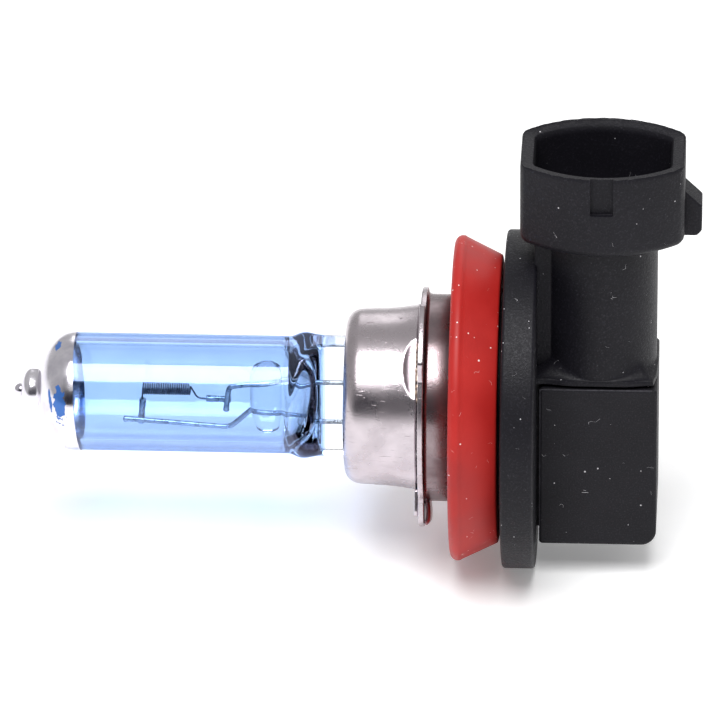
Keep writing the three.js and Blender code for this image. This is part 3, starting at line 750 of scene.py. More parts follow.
def filament_route():
    route = smooth_route([
        (-27.95, SIDE_Y, -3.3), (-27.9, SIDE_Y, -2.3), (-27.85, SIDE_Y, -1.1), (-27.78, 0.6, -0.2),
        (COIL_FRONT, COIL_RADIUS, COIL_Z),
    ], 8)
    steps = COIL_TURNS * 16
    for i in range(1, steps + 1):
        angle = 2 * math.pi * i / 16
        x = COIL_FRONT + (COIL_BACK - COIL_FRONT) * i / steps
        route.append(Vector((x, COIL_RADIUS * math.cos(angle), COIL_Z + COIL_RADIUS * math.sin(angle))))
    route += smooth_route([
        (COIL_BACK, COIL_RADIUS, COIL_Z), (-22.8, SIDE_Y, -0.2), (-22.4, SIDE_Y, -0.82),
        (-21.7, SIDE_Y, -0.96), (-20.4, SIDE_Y, -0.98), (-19.6, SIDE_Y, -1.0),
    ], 8)[1:]
    return route


tungsten = drawn_wire("tungsten_wire_coiled", "#4a4d57", "#7d818c", 0.38)
route = filament_route()
coil = mesh_piece("tungsten_coil", *swept(route, [0.085] * len(route), 10), crease=60)
finished(coil, tungsten, "filament", slot="tungsten")

# %% Lead wires
LEAD_RADIUS = 0.27
SHORT_LEAD_Z = 1.76
LONG_LEAD_Z = -2.53
lead_end_x = ends("long_lead_wire")[1].x

lead_metal = drawn_wire("nickel_plated_lead_wire", "#7c8590", "#b9c1ca", 0.3)
long_route = smooth_route([
    (-29.7, 0, -3.06), (-28.6, 0, -3.1), (-24.4, 0, -3.42), (-20.6, 0, -3.74), (-19.5, 0, -3.74),
    (-18.9, 0, -3.45), (-17.4, 0, -1.98), (-16.9, 0, -1.76), (-14.5, 0, -1.93), (-12.2, 0, -2.4),
    (-11.2, 0, LONG_LEAD_Z), (-9.0, 0, LONG_LEAD_Z), (lead_end_x, 0, LONG_LEAD_Z),
], 12)
short_route = smooth_route([
    (-19.62, 0, -1.98), (-19.55, 0, -1.2), (-19.45, 0, -0.3), (-19.25, 0, 0.55), (-18.7, 0, 0.84),
    (-16.5, 0, 1.15), (-14.1, 0, 1.54), (-12.3, 0, 1.72), (-11.2, 0, SHORT_LEAD_Z),
    (-9.0, 0, SHORT_LEAD_Z), (lead_end_x, 0, SHORT_LEAD_Z),
], 12)


def lead_piece(name, node, route):
    """A lead wire with a slightly upset, rounded front end."""
    radii = []
    for i in range(len(route)):
        upset = 0.06 * max(0, 1 - abs(i - 4) / 5)
        rounding = math.sqrt(1 - (1 - min(i / 3, 1)) ** 2) if i < 3 else 1
        radii.append((LEAD_RADIUS + upset) * max(rounding, 0.3))
    piece = mesh_piece(name, *swept(route, radii, 16), crease=50)
    return finished(piece, lead_metal, node, slot="lead_wire")


lead_piece("long_lead", "long_lead_wire", long_route)
lead_piece("short_lead", "short_lead_wire", short_route)

# %% [markdown]
# The sleeves are short tubes squeezed flat on the leg, so each is a tube whose section is wider than
# it is thick in the middle.

# %% Leg sleeves
def sleeve_piece(name, node, start, stop, radius=0.33, bore=0.12):
    start, stop = Vector(start), Vector(stop)
    axis = (stop - start).normalized()
    side = Vector((0, 1, 0))
    across = side.cross(axis)
    sections = []
    rows = [(0.0, radius * 0.92), (0.03, radius), (0.3, radius), (0.36, radius * 0.9), (0.5, radius * 0.86),
            (0.64, radius * 0.9), (0.7, radius), (0.97, radius), (1.0, radius * 0.92)]
    for share, reach in rows + [(1.0, bore), (0.0, bore)]:
        flat = 0.82 if 0.33 < share < 0.67 else 1.0
        wide = 1.0 if reach == bore or flat == 1.0 else 1.08
        ring = []
        for k in range(24):
            angle = 2 * math.pi * k / 24
            ring.append(start.lerp(stop, share) + across * math.cos(angle) * reach * wide
                        + side * math.sin(angle) * reach * flat)
        sections.append(ring)
    sections.append(sections[0])
    points, faces = lofted(sections[:-1], False, False)
    count = 24
    last = len(sections) - 2
    for k in range(count):
        n = (k + 1) % count
        faces.append([last * count + k, last * count + n, n, k])
    piece = mesh_piece(name, points, faces)
    return finished(piece, lead_metal, node, slot="lead_wire")


sleeve_piece("front_sleeve", "front_leg_sleeve", (-28.02, SIDE_Y, -3.88), (-27.78, SIDE_Y, -1.08))
sleeve_piece("rear_sleeve", "rear_leg_sleeve", (-21.58, SIDE_Y, -0.94), (-19.17, SIDE_Y, -1.0))

# %% [markdown]
# A bead of clear glass is melted round both wires to hold them apart. It is turned about an upright
# axis, with ends rounded by the flame.

# %% Glass bridge
def bridge_shape():
    low, high = ends("glass_bridge")
    middle = (low.x + high.x) / 2
    outline = (
        curve_points(low.z + 0.7, 0, 0.7, 1.2, 180, 100, 8)
        + [(low.z + 1.3, 1.34), (low.z + 2.2, 1.6), (-0.9, 1.7), (0.9, 1.7), (high.z - 1.5, 1.68)]
        + curve_points(high.z - 0.8, 0, 0.8, 1.55, 80, 0, 8)
    )
    points, faces = turned(
        [(x, max(r, 0) if 0 < i < len(outline) - 1 else 0) for i, (x, r) in enumerate(outline)], 64,
    )
    return [(middle - z, y, x) for x, y, z in points], faces


bridge = mesh_piece("glass_bead_bridge", *bridge_shape(), crease=60)
finished(bridge, clear_glass("clear_glass_bead_melted", 1.25), "glass_bridge", slot="clear_glass")

# %% [markdown]
# ## Steel parts
# The cup that holds the glass is drawn from stainless sheet: it has a soft radius at its face, a slight
# taper, and a rim that flares where it meets the ring. Three scallops are pressed in at the rim, and
# each is welded to the ring. The scallops move the turned mesh's own points, so their edges stay real.

# %% Satin steel
def satin_steel(name, dark, light, roughness, grain_mm=0.09):
    """Stainless sheet, drawn and tumbled: a soft mirror with a fine pitted grain and faint scratches."""
    material, tree, place = new_material(name)
    grain = add_node(
        tree, "ShaderNodeTexNoise", Vector=place, Scale=per_mm(grain_mm), Detail=3.0, Roughness=0.6,
    )
    cloud = add_node(tree, "ShaderNodeTexNoise", Vector=place, Scale=per_mm(2.5), Detail=4.0)
    scratches = add_node(tree, "ShaderNodeTexNoise", Vector=add_node(
        tree, "ShaderNodeMapping", Vector=place, Scale=(0.25, 1.0, 4.0), Rotation=(0.3, 0.9, 0.2),
    ).outputs["Vector"], Scale=per_mm(0.5), Detail=6.0)
    line = add_node(
        tree, "ShaderNodeMapRange", Value=scratches.outputs["Fac"],
        From_Min=0.66, From_Max=0.70,
    ).outputs["Result"]
    tone = add_node(
        tree, "ShaderNodeValToRGB", {"color_ramp": [(0.3, dark), (0.7, light)]},
        Fac=cloud.outputs["Fac"],
    ).outputs["Color"]
    worn = add_node(tree, "ShaderNodeMix", {"data_type": "RGBA", "blend_type": "MULTIPLY"},
                    Factor=line, i6=tone, i7=linear("#c9c4c6"))
    dull = add_node(
        tree, "ShaderNodeMapRange", Value=cloud.outputs["Fac"],
        From_Min=0.3, From_Max=0.7, To_Min=roughness + 0.06, To_Max=roughness - 0.05,
    ).outputs["Result"]
    height = add_node(tree, "ShaderNodeMath", {"operation": "MULTIPLY_ADD"},
                      i0=line, i1=-0.6, i2=grain.outputs["Fac"])
    bump = add_node(tree, "ShaderNodeBump", Strength=0.5, Distance=0.02 * MM, Height=height.outputs["Value"])
    steel = add_node(
        tree, "ShaderNodeBsdfPrincipled", Base_Color=worn.outputs["Result"], Metallic=1.0,
        Roughness=dull, Normal=bump.outputs["Normal"],
    )
    show(tree, steel.outputs["BSDF"])
    return material


steel = satin_steel("stainless_sheet_drawn_satin", "#b3aaaf", "#cbc2c7", 0.26, 0.14)
print("steel ready")

# %% Cup
SHEET = 0.45
SCALLOP_ANGLES = [46.6, 166.6, 286.6]
SCALLOP_LENGTH = 1.35
SCALLOP_HALF_ANGLE = 20.0
SCALLOP_DEPTH = 0.6


def cup_wall(x):
    """Outer radius of the cup's side at x: a slight taper that flares close to the rim."""
    share = (x - cup_low.x) / (cup_high.x - cup_low.x)
    return 8.46 + 0.36 * share + 0.30 * max(0, (share - 0.55) / 0.45) ** 2


def cup_outline():
    corner = 1.6
    hole = 6.3
    side_start = cup_low.x + corner
    outer = curve_points(side_start, cup_wall(side_start) - corner, corner, corner, 180, 92, 12)
    outer = [(cup_low.x, hole + 0.1), (cup_low.x, hole + 0.4)] + outer
    steps = 44
    end_x = cup_high.x - 0.12
    outer += [(side_start + (end_x - side_start) * i / steps, 0) for i in range(1, steps + 1)]
    outer = [(x, r if r else cup_wall(x)) for x, r in outer]
    rim = curve_points(cup_high.x - 0.22, cup_wall(cup_high.x) - 0.22, 0.22, 0.22, 80, -60, 5)
    inner = [(min(x + SHEET, cup_high.x - 0.1) if i < 12 else x, r - SHEET) for i, (x, r) in enumerate(outer)]
    inner = [(max(x, cup_low.x + SHEET), max(r, hole)) for x, r in inner]
    inner[0] = (cup_low.x + SHEET, hole + 0.02)
    return outer + rim + inner[::-1][2:] + [(cup_low.x + 0.12, hole)]


def press_scallops(piece):
    """Presses the rim inwards at three places, deepest at the rim."""
    for vertex in piece.data.vertices:
        x, y, z = vertex.co / MM
        angle = math.degrees(math.atan2(z, -y))
        reach_x = (cup_high.x - x) / SCALLOP_LENGTH
        for centre in SCALLOP_ANGLES:
            apart = (angle - centre + 180) % 360 - 180
            distance = math.hypot(reach_x, apart / SCALLOP_HALF_ANGLE)
            if distance < 1:
                push = SCALLOP_DEPTH * (1 - distance * distance) ** 0.8
                scale = (math.hypot(y, z) - push) / math.hypot(y, z)
                vertex.co = Vector((x, y * scale, z * scale)) * MM


cup = mesh_piece("glass_holder_cup", *turned(cup_outline(), 360, closed=True), crease=32)
press_scallops(cup)
cup.data.set_sharp_from_angle(angle=math.radians(40))
finished(cup, steel, "mounting_cup", slot="steel")

# %% [markdown]
# The locating ring is a flat stamping with three lugs. A stamped edge is rounded on one side only a
# little, so a helper makes a slab from an outline with eased edges, here and for other flat pieces.

# %% Helper for slabs
def inset(outline, distance):
    """An outline (counter-clockwise) moved inwards, square to itself."""
    moved = []
    count = len(outline)
    for i, point in enumerate(outline):
        here = Vector(point)
        into = (here - Vector(outline[i - 1])).normalized()
        away = (Vector(outline[(i + 1) % count]) - here).normalized()
        along = (into + away).normalized()
        stretch = distance / max(along.dot(into), 0.35)
        moved.append((here.x - along.y * stretch, here.y + along.x * stretch))
    return moved


def slab(outline, low, high, edge, place, steps=3):
    """A plate from an outline, with edges eased by a radius; place turns (u, v, w) to a point."""
    rows = [(low + edge * (1 - math.sin(math.pi / 2 * k / steps)),
             edge * (1 - math.cos(math.pi / 2 * k / steps))) for k in range(steps, -1, -1)]
    sections = [(w, inset(outline, d)) for w, d in rows]
    sections += [(low + high - w, inset(outline, d)) for w, d in rows[::-1]]
    return lofted([[place(u, v, w) for u, v in section] for w, section in sections])


def along_x(u, v, w):
    return (w, u, v)


def along_y(u, v, w):
    return (u, -w, v)


# %% Locating ring
RING_RADIUS = 10.75
RING_BORE = 8.5
LUG_RADIUS = 12.62
LUG_WIDTH = 7.0
LUG_ANGLES = [208, 328, 448]


def ring_outline():
    """Seen along the axis, counter-clockwise, with the lugs' corners rounded."""
    corners = []
    half_lug = math.degrees(math.asin(LUG_WIDTH / 2 / LUG_RADIUS))
    for centre in LUG_ANGLES:
        start, stop = centre - half_lug, centre + half_lug
        foot = math.degrees(math.asin((LUG_WIDTH / 2 + 0.5) / RING_RADIUS))
        previous = centre - 120 + foot
        for i in range(13):
            angle = previous + (centre - foot - previous) * i / 12
            corners.append((angle, RING_RADIUS, 0.5 if i in (0, 12) else 0))
        for i in range(7):
            angle = start + (stop - start) * i / 6
            corners.append((angle, LUG_RADIUS, 0.7 if i in (0, 6) else 0))
    flat = [(math.sin(math.radians(a)) * r, math.cos(math.radians(a)) * r, e) for a, r, e in corners]
    return eased(flat)[::-1]


def ring_shape():
    outline = ring_outline()
    count = len(outline)
    edge = 0.1
    rows = []
    for x, d in ((ring_low.x, edge), (ring_low.x + 0.03, 0.03), (ring_low.x + edge, 0.0),
                 (-edge, 0.0), (-0.03, 0.03), (0.0, edge)):
        rows.append([(x, u, v) for u, v in inset(outline, d)])
    bore = []
    for u, v in outline:
        scale = RING_BORE / math.hypot(u, v)
        bore.append((u * scale, v * scale))
    rows += [[(x, u, v) for u, v in bore] for x in (0.0, ring_low.x)]
    points, faces = lofted(rows, False, False)
    last = (len(rows) - 1) * count
    for k in range(count):
        n = (k + 1) % count
        faces.append([last + k, last + n, n, k])
    return points, faces


def lug_facings():
    """On the lower lug, a shorter facing plate in front and a curled rib behind, as pressed."""
    shapes = []
    for centre in LUG_ANGLES[:1]:
        turn = Matrix.Rotation(math.radians(-centre), 4, "X")
        plate = eased([(-2.9, 8.9, 0.3), (2.9, 8.9, 0.3), (2.7, 11.6, 0.6), (-2.7, 11.6, 0.6)])
        plate_points, plate_faces = slab(plate, ring_low.x - 0.42, ring_low.x - 0.02, 0.12, along_x)
        rib = smooth_route(
            [(0.12, 0, 9.0), (0.3, 0, 10.0), (0.42, 0, 11.0), (0.38, 0, 11.9), (0.1, 0, 12.3)], 6,
        )
        section = [(-2.5, -0.22), (2.5, -0.22), (2.7, 0.0), (2.5, 0.22), (-2.5, 0.22), (-2.7, 0.0)]
        rings = []
        for i, here in enumerate(rib):
            along = (rib[min(i + 1, len(rib) - 1)] - rib[max(i - 1, 0)]).normalized()
            out = Vector((along.z, 0, -along.x))
            rings.append([here + Vector((0, u, 0)) + out * v for u, v in section])
        rib_points, rib_faces = lofted(rings)
        for points, faces in ((plate_points, plate_faces), (rib_points, rib_faces)):
            shapes.append(([turn @ Vector(p) for p in points], faces))
    return shapes


ring = mesh_piece("locating_ring_plate", *joined(ring_shape(), *lug_facings()), crease=35)
finished(ring, steel, "locating_ring", slot="steel")

# %% Collar
COLLAR_RADIUS = 10.1
COLLAR_FILLET = 0.4


def collar_outline():
    outer = curve_points(
        COLLAR_FILLET + 0.03, COLLAR_RADIUS + COLLAR_FILLET, COLLAR_FILLET, COLLAR_FILLET, 180, 270, 6,
    )
    outer += [(collar_high.x - 0.1, COLLAR_RADIUS), (collar_high.x, COLLAR_RADIUS - 0.1)]
    inner = [
        (collar_high.x, COLLAR_RADIUS - SHEET), (0.75, COLLAR_RADIUS - SHEET),
        (0.05, COLLAR_RADIUS + 0.05),
    ]
    return outer + inner


def ripple_collar(piece):
    """Drawing leaves shallow waves along the collar."""
    for vertex in piece.data.vertices:
        x, y, z = vertex.co / MM
        angle = math.atan2(z, y)
        wave = 0.035 * noise.noise(Vector((x * 0.9, math.cos(angle) * 7, math.sin(angle) * 7)))
        scale = 1 + wave / math.hypot(y, z)
        vertex.co = Vector((x, y * scale, z * scale)) * MM


collar = mesh_piece("locating_collar", *turned(collar_outline(), 240, closed=True), crease=50)
ripple_collar(collar)
# Painted shade: the collar's steel is a darker copy of the satin steel. It stands for the shade where the
# collar lies between the cup and the seal.
collar_steel_painted_shade = satin_steel("stainless_strip_drawn_rippled_painted_shade", "#746669", "#96888b", 0.28, 0.14)
finished(collar, collar_steel_painted_shade, "ring_collar", slot="steel")

# %% [markdown]
# Resistance welds join the cup to the ring at the scallops. Each leaves a lumpy bead with straw and
# grey heat tints, swept here along the rim with an uneven radius.

# %% Weld beads
def heat_tinted_weld():
    """Steel melted and cooled in air: rough, with thin oxide tints from straw to grey."""
    material, tree, place = new_material("steel_weld_heat_tinted")
    spots = add_node(tree, "ShaderNodeTexNoise", Vector=place, Scale=per_mm(0.35), Detail=4.0)
    tone = add_node(
        tree, "ShaderNodeValToRGB", {"color_ramp": [(0.32, "#4a4446"), (0.5, "#b8a18a"), (0.68, "#e9ddd0")]},
        Fac=spots.outputs["Fac"],
    ).outputs["Color"]
    bump = add_node(tree, "ShaderNodeBump", Strength=0.6, Distance=0.05 * MM, Height=spots.outputs["Fac"])
    weld = add_node(tree, "ShaderNodeBsdfPrincipled", Base_Color=tone, Metallic=0.9, Roughness=0.33,
                    Normal=bump.outputs["Normal"])
    show(tree, weld.outputs["BSDF"])
    return material


def weld_shapes():
    shapes = []
    for number, centre in enumerate(SCALLOP_ANGLES):
        route, radii = [], []
        for i in range(49):
            apart = -SCALLOP_HALF_ANGLE * 1.15 + SCALLOP_HALF_ANGLE * 2.3 * i / 48
            angle = math.radians(centre + apart)
            wander = noise.noise(Vector((i * 0.35, number * 7.7, 0)))
            radius = 8.75 + 0.12 * wander
            route.append(
                (cup_high.x + 0.06 + 0.05 * wander, -radius * math.cos(angle), radius * math.sin(angle)),
            )
            lump = noise.noise(Vector((i * 0.6, number * 3.1, 5.0)))
            radii.append(
                (0.24 + 0.12 * lump) * math.sqrt(max(1 - (apart / SCALLOP_HALF_ANGLE / 1.16) ** 2, 0.04)),
            )
        shapes.append(swept(route, radii, 10))
    return shapes


welds = mesh_piece("cup_weld_beads", *joined(*weld_shapes()), crease=60)
finished(welds, heat_tinted_weld(), slot="steel")

# %% [markdown]
# ## Seal
# The seal is a soft red ring that sits behind the lamp's opening. Silicone rubber is moulded, so its
# edges are round, and its tacky skin holds white dust and lint. A little light enters it, which lifts
# the colour at the lip.

# %% Helpers for dust
def specks(tree, place, spacing_mm, size_share, keep):
    """White dust: small dots, one in some of the cells of a random pattern."""
    cells = add_node(tree, "ShaderNodeTexVoronoi", Vector=place, Scale=per_mm(spacing_mm))
    pick = add_node(tree, "ShaderNodeSeparateColor", Color=cells.outputs["Color"])
    size = add_node(
        tree, "ShaderNodeMapRange", Value=pick.outputs["Red"],
        From_Min=1 - keep, From_Max=1.0, To_Min=0.0, To_Max=size_share,
    ).outputs["Result"]
    inside = add_node(
        tree, "ShaderNodeMath", {"operation": "SUBTRACT"}, i0=size, i1=cells.outputs["Distance"],
    )
    return add_node(
        tree, "ShaderNodeMapRange", Value=inside.outputs["Value"],
        From_Min=0.0, From_Max=0.02,
    ).outputs["Result"]


def lint(tree, place, spacing_mm, width, keep):
    """Curled fibres: thin lines where a wandering pattern crosses its middle, kept in a few spots."""
    wander = add_node(tree, "ShaderNodeTexNoise", Vector=place, Scale=per_mm(spacing_mm), Detail=1.0)
    middle = add_node(tree, "ShaderNodeMath", {"operation": "SUBTRACT"}, i0=wander.outputs["Fac"], i1=0.5)
    across = add_node(tree, "ShaderNodeMath", {"operation": "ABSOLUTE"}, i0=middle.outputs["Value"])
    line = add_node(
        tree, "ShaderNodeMapRange", Value=across.outputs["Value"],
        From_Min=0.0, From_Max=width, To_Min=1.0, To_Max=0.0,
    ).outputs["Result"]
    where = add_node(tree, "ShaderNodeTexNoise", Vector=place, Scale=per_mm(spacing_mm * 0.83), Detail=0.0)
    spot = add_node(
        tree, "ShaderNodeMapRange", Value=where.outputs["Fac"],
        From_Min=keep, From_Max=keep + 0.02,
    ).outputs["Result"]
    both = add_node(tree, "ShaderNodeMath", {"operation": "MULTIPLY"}, i0=line, i1=spot)
    return both.outputs["Value"]


def most(tree, *masks):
    result = masks[0]
    for mask in masks[1:]:
        result = add_node(
            tree, "ShaderNodeMath", {"operation": "MAXIMUM"}, i0=result, i1=mask,
        ).outputs["Value"]
    return result


# %% Red silicone
def red_silicone():
    """Silicone rubber, compression moulded: satin, faintly translucent, dusty."""
    material, tree, place = new_material("red_silicone_rubber_moulded")
    cloud = add_node(tree, "ShaderNodeTexNoise", Vector=place, Scale=per_mm(5.0), Detail=4.0)
    fine = add_node(tree, "ShaderNodeTexNoise", Vector=place, Scale=per_mm(0.15), Detail=2.0)
    tone = add_node(
        tree, "ShaderNodeValToRGB", {"color_ramp": [(0.3, "#a31a17"), (0.7, "#b4231e")]},
        Fac=cloud.outputs["Fac"],
    ).outputs["Color"]
    dust = most(
        tree,
        specks(tree, place, 1.1, 0.11, 0.40),
        specks(tree, place, 0.55, 0.16, 0.14),
        lint(tree, place, 1.3, 0.004, 0.70),
    )
    dusted = add_node(
        tree, "ShaderNodeMix", {"data_type": "RGBA"}, Factor=dust, i6=tone, i7=linear("#f2dcda"),
    )
    dull = add_node(
        tree, "ShaderNodeMapRange", Value=cloud.outputs["Fac"],
        From_Min=0.3, From_Max=0.7, To_Min=0.42, To_Max=0.56,
    ).outputs["Result"]
    bump = add_node(tree, "ShaderNodeBump", Strength=0.25, Distance=0.02 * MM, Height=fine.outputs["Fac"])
    rubber = add_node(
        tree, "ShaderNodeBsdfPrincipled", Base_Color=dusted.outputs["Result"], Roughness=dull, IOR=1.41,
        Subsurface_Weight=0.12, Subsurface_Radius=(1.0, 0.25, 0.15), Subsurface_Scale=0.5 * MM,
        Normal=bump.outputs["Normal"],
    )
    show(tree, rubber.outputs["BSDF"])
    return material


def seal_outline():
    bore = 10.42
    front, back = seal_low.x, seal_high.x
    lip, back_radius = 15.85, 14.1
    outer = [(front, bore + 0.15)]
    outer += curve_points(front + 0.75, lip - 0.75, 0.75, 0.75, 180, 68, 10)
    outer += [(front + 1.15, lip - 0.16), (front + 1.5, lip - 0.33)]
    outer += [
        (front + 1.5 + (back - front - 1.7) * i / 6, lip - 0.33 - (lip - 0.33 - back_radius) * i / 6)
        for i in range(1, 7)
    ]
    outer += [(back - 0.05, back_radius - 0.1), (back, back_radius - 0.3)]
    return outer + [(back, bore + 0.1), (back - 0.1, bore), (front + 0.15, bore)]


seal = mesh_piece("seal", *turned(seal_outline(), 192, closed=True), crease=50)
finished(seal, red_silicone(), "seal_ring", slot="red_silicone")

# %% [markdown]
# ## Black base
# The base is injection moulded from a heat-proof black plastic. The mould was spark eroded, which
# leaves an even fine grain, and the moulding shows a ragged line of flash along the socket's rim. It is
# built from a turned barrel and flange, a lofted neck and a lofted socket, joined into one skin.

# %% Black plastic
def black_plastic(name, low="#0f0e14", high="#15141a", roughness=0.5, grain_mm=0.2, grain_strength=0.8):
    """Glass-filled black plastic from an eroded mould: a fine grain that holds dust, its peaks painted paler
    as painted glints.
    """
    material, tree, place = new_material(name)
    grain = add_node(
        tree, "ShaderNodeTexNoise", Vector=place, Scale=per_mm(grain_mm), Detail=2.0, Roughness=0.7,
    )
    cloud = add_node(tree, "ShaderNodeTexNoise", Vector=place, Scale=per_mm(6.0), Detail=4.0)
    tone = add_node(
        tree, "ShaderNodeValToRGB", {"color_ramp": [(0.3, low), (0.7, high)]},
        Fac=cloud.outputs["Fac"],
    ).outputs["Color"]
    # Painted glints: the grain's peaks get a paler grey colour where they would sparkle in the light.
    pale = add_node(
        tree, "ShaderNodeMapRange", Value=grain.outputs["Fac"],
        From_Min=0.55, From_Max=0.78, To_Min=0.0, To_Max=0.2,
    ).outputs["Result"]
    grain_with_painted_glints = add_node(
        tree, "ShaderNodeMix", {"data_type": "RGBA"}, Factor=pale, i6=tone, i7=linear("#55535e"),
    )
    dust = most(
        tree,
        specks(tree, place, 1.3, 0.09, 0.30),
        specks(tree, place, 0.6, 0.14, 0.12),
        lint(tree, place, 1.6, 0.003, 0.74),
    )
    dusted = add_node(tree, "ShaderNodeMix", {"data_type": "RGBA"}, Factor=dust,
                      i6=grain_with_painted_glints.outputs["Result"], i7=linear("#c9c7cc"))
    dull = add_node(
        tree, "ShaderNodeMapRange", Value=grain.outputs["Fac"],
        From_Min=0.3, From_Max=0.7, To_Min=roughness + 0.1, To_Max=roughness - 0.1,
    ).outputs["Result"]
    bump = add_node(
        tree, "ShaderNodeBump", Strength=grain_strength, Distance=0.05 * MM, Height=grain.outputs["Fac"],
    )
    plastic = add_node(
        tree, "ShaderNodeBsdfPrincipled", Base_Color=dusted.outputs["Result"], Roughness=dull, IOR=1.55,
        Specular_IOR_Level=0.17, Normal=bump.outputs["Normal"],
    )
    show(tree, plastic.outputs["BSDF"])
    return material


plastic = black_plastic("black_plastic_moulded_eroded_grain")
print("plastic ready")

# %% Barrel and flange
BARREL_RADIUS = 10.3
BARREL_BORE = 7.36
SPIGOT_RADIUS = 9.6
BARREL_FLOOR_X = 7.0
FLANGE_FRONT_X, FLANGE_BACK_X = 7.6, 10.8
flange_radius = body_high.y


def barrel_shape():
    edge = 0.35
    return turned([
        (BARREL_FLOOR_X, 0), (BARREL_FLOOR_X, BARREL_BORE), (body_low.x, BARREL_BORE),
        (body_low.x, SPIGOT_RADIUS), (4.45, SPIGOT_RADIUS),
        (4.45, BARREL_RADIUS), (FLANGE_FRONT_X, BARREL_RADIUS),
        *curve_points(FLANGE_FRONT_X + edge, flange_radius - edge, edge, edge, 180, 90, 5),
        *curve_points(FLANGE_BACK_X - edge, flange_radius - edge, edge, edge, 90, 0, 5),
        (FLANGE_BACK_X, 0),
    ], 160)


base = mesh_piece("moulded_base", *barrel_shape())
print("flange radius in mm:", round(flange_radius, 2))

# %% [markdown]
# The neck rises from a rectangular ledge and becomes round. Two hollow coves carry it from the corners
# of the ledge to the round, so each point of the outline first runs inwards and then upwards. A flat
# web ties the neck to the flange, and a block below the ledge holds the wiring chamber.

# %% Neck and ledge
BOX_HALF_DEPTH = 5.6
LEDGE_BOTTOM_Z = 4.4
LEDGE_TOP_Z = 5.0
COVE_HEIGHT = 1.7
NECK_X = 16.8
NECK_RADIUS = 5.55
WEB_HALF_DEPTH = 3.0
WEB_LEFT_X, WEB_BOTTOM_Z, WEB_TOP_Z = 10.5, 4.7, 19.6
CORE_LEFT_X, CORE_RIGHT_X, CORE_BOTTOM_Z, CORE_TOP_Z = 9.8, 21.25, -11.75, 4.6
CORE_HALF_DEPTH = 4.35
SOCKET_BOTTOM_Z = 18.9
box_end_x = cover_high.x


def rectangle(left, bottom, right, top, radii=(0, 0, 0, 0)):
    """A rectangle from its lower left corner, counter-clockwise, each corner with its own radius."""
    corners = [(left, bottom), (right, bottom), (right, top), (left, top)]
    return eased([(x, y, radius) for (x, y), radius in zip(corners, radii)])


def round_points(count):
    """Points round the neck, matched in angle to the ledge's outline."""
    turn = 2 * math.pi / count
    return [(NECK_X + NECK_RADIUS * math.cos(turn * k), NECK_RADIUS * math.sin(turn * k))
            for k in range(count)]


def ledge_point(x, y):
    """The ledge's outline in the direction of a point from the neck's centre."""
    dx, dy = x - NECK_X, y
    reach = []
    if abs(dx) > 1e-9:
        reach.append(((box_end_x if dx > 0 else FLANGE_BACK_X - 1.0) - NECK_X) / dx)
    if abs(dy) > 1e-9:
        reach.append(math.copysign(BOX_HALF_DEPTH, dy) / dy)
    scale = min(reach)
    corner_scale = 1 - 0.06 * (abs(dx * dy) / (NECK_RADIUS ** 2) * 2) ** 12
    return (NECK_X + dx * scale * corner_scale, dy * scale * corner_scale)


def neck_shape():
    count = 144
    circle = round_points(count)
    ledge = [ledge_point(x, y) for x, y in circle]
    sections = [
        [(x + (NECK_X - x) * 0.02, y * 0.98, LEDGE_BOTTOM_Z) for x, y in ledge],
        [(x, y, LEDGE_BOTTOM_Z + 0.12) for x, y in ledge],
        [(x, y, LEDGE_TOP_Z - 0.25) for x, y in ledge],
        [(x + (NECK_X - x) * 0.008, y * 0.992, LEDGE_TOP_Z - 0.06) for x, y in ledge],
    ]
    for step in range(1, 17):
        turn = math.pi / 2 * step / 16
        inward, upward = math.sin(turn), 1 - math.cos(turn)
        section = []
        for (lx, ly), (cx, cy) in zip(ledge, circle):
            height = COVE_HEIGHT * min(math.hypot(lx - cx, ly - cy) / 1.6, 1)
            section.append((lx + (cx - lx) * inward, ly + (cy - ly) * inward, LEDGE_TOP_Z + height * upward))
        sections.append(section)
    for z in (8.0, 12.0, 16.0, SOCKET_BOTTOM_Z + 0.9):
        sections.append([(x, y, z) for x, y in circle])
    return lofted(sections)


neck = mesh_piece("neck", *neck_shape())
combine(base, neck, "UNION")
web = mesh_piece("web", *slab(
    rectangle(WEB_LEFT_X, WEB_BOTTOM_Z, NECK_X, WEB_TOP_Z),
    -WEB_HALF_DEPTH, WEB_HALF_DEPTH, 0.1, along_y))
combine(base, web, "UNION")
core = mesh_piece("core", *slab(
    rectangle(CORE_LEFT_X, CORE_BOTTOM_Z, CORE_RIGHT_X, CORE_TOP_Z, (0.2, 0.4, 0.2, 0.2)),
    -CORE_HALF_DEPTH, CORE_HALF_DEPTH, 0.2, along_y))
combine(base, core, "UNION")
print("base faces with neck:", len(base.data.polygons))

# %% Socket
SOCKET_X = 17.0
SOCKET_HALF_WIDTH = 7.9
SOCKET_HALF_DEPTH = 6.8
SOCKET_ARC_RADIUS = 11.5
SOCKET_CORNER = 1.6
SOCKET_WALL = 1.4
SOCKET_FLOOR_Z = 19.9
socket_top_z = body_high.z


def socket_outline(inset_by):
    """Seen from above: two bowed long walls, two straight ends and rounded corners."""
    half_width = SOCKET_HALF_WIDTH - inset_by
    arc = SOCKET_ARC_RADIUS - inset_by
    corner = max(SOCKET_CORNER - inset_by / 2, 0.3)
    bow = SOCKET_HALF_DEPTH - SOCKET_ARC_RADIUS
    corner_x = half_width - corner
    corner_y = bow + math.sqrt((arc - corner) ** 2 - corner_x ** 2)
    meet = math.atan2(corner_y - bow, corner_x)
    quarter = [(half_width, corner_y * i / 4) for i in range(4)]
    quarter += [(corner_x + corner * math.cos(meet * i / 10), corner_y + corner * math.sin(meet * i / 10))
                for i in range(11)]
    for i in range(1, 31):
        angle = meet + (math.pi / 2 - meet) * i / 30
        quarter.append((arc * math.cos(angle), bow + arc * math.sin(angle)))
    left = [(-x, y) for x, y in quarter[:-1][::-1]]
    far = quarter + left
    near = [(-x, -y) for x, y in far[1:-1]]
    return [(x + SOCKET_X, y) for x, y in far + near]


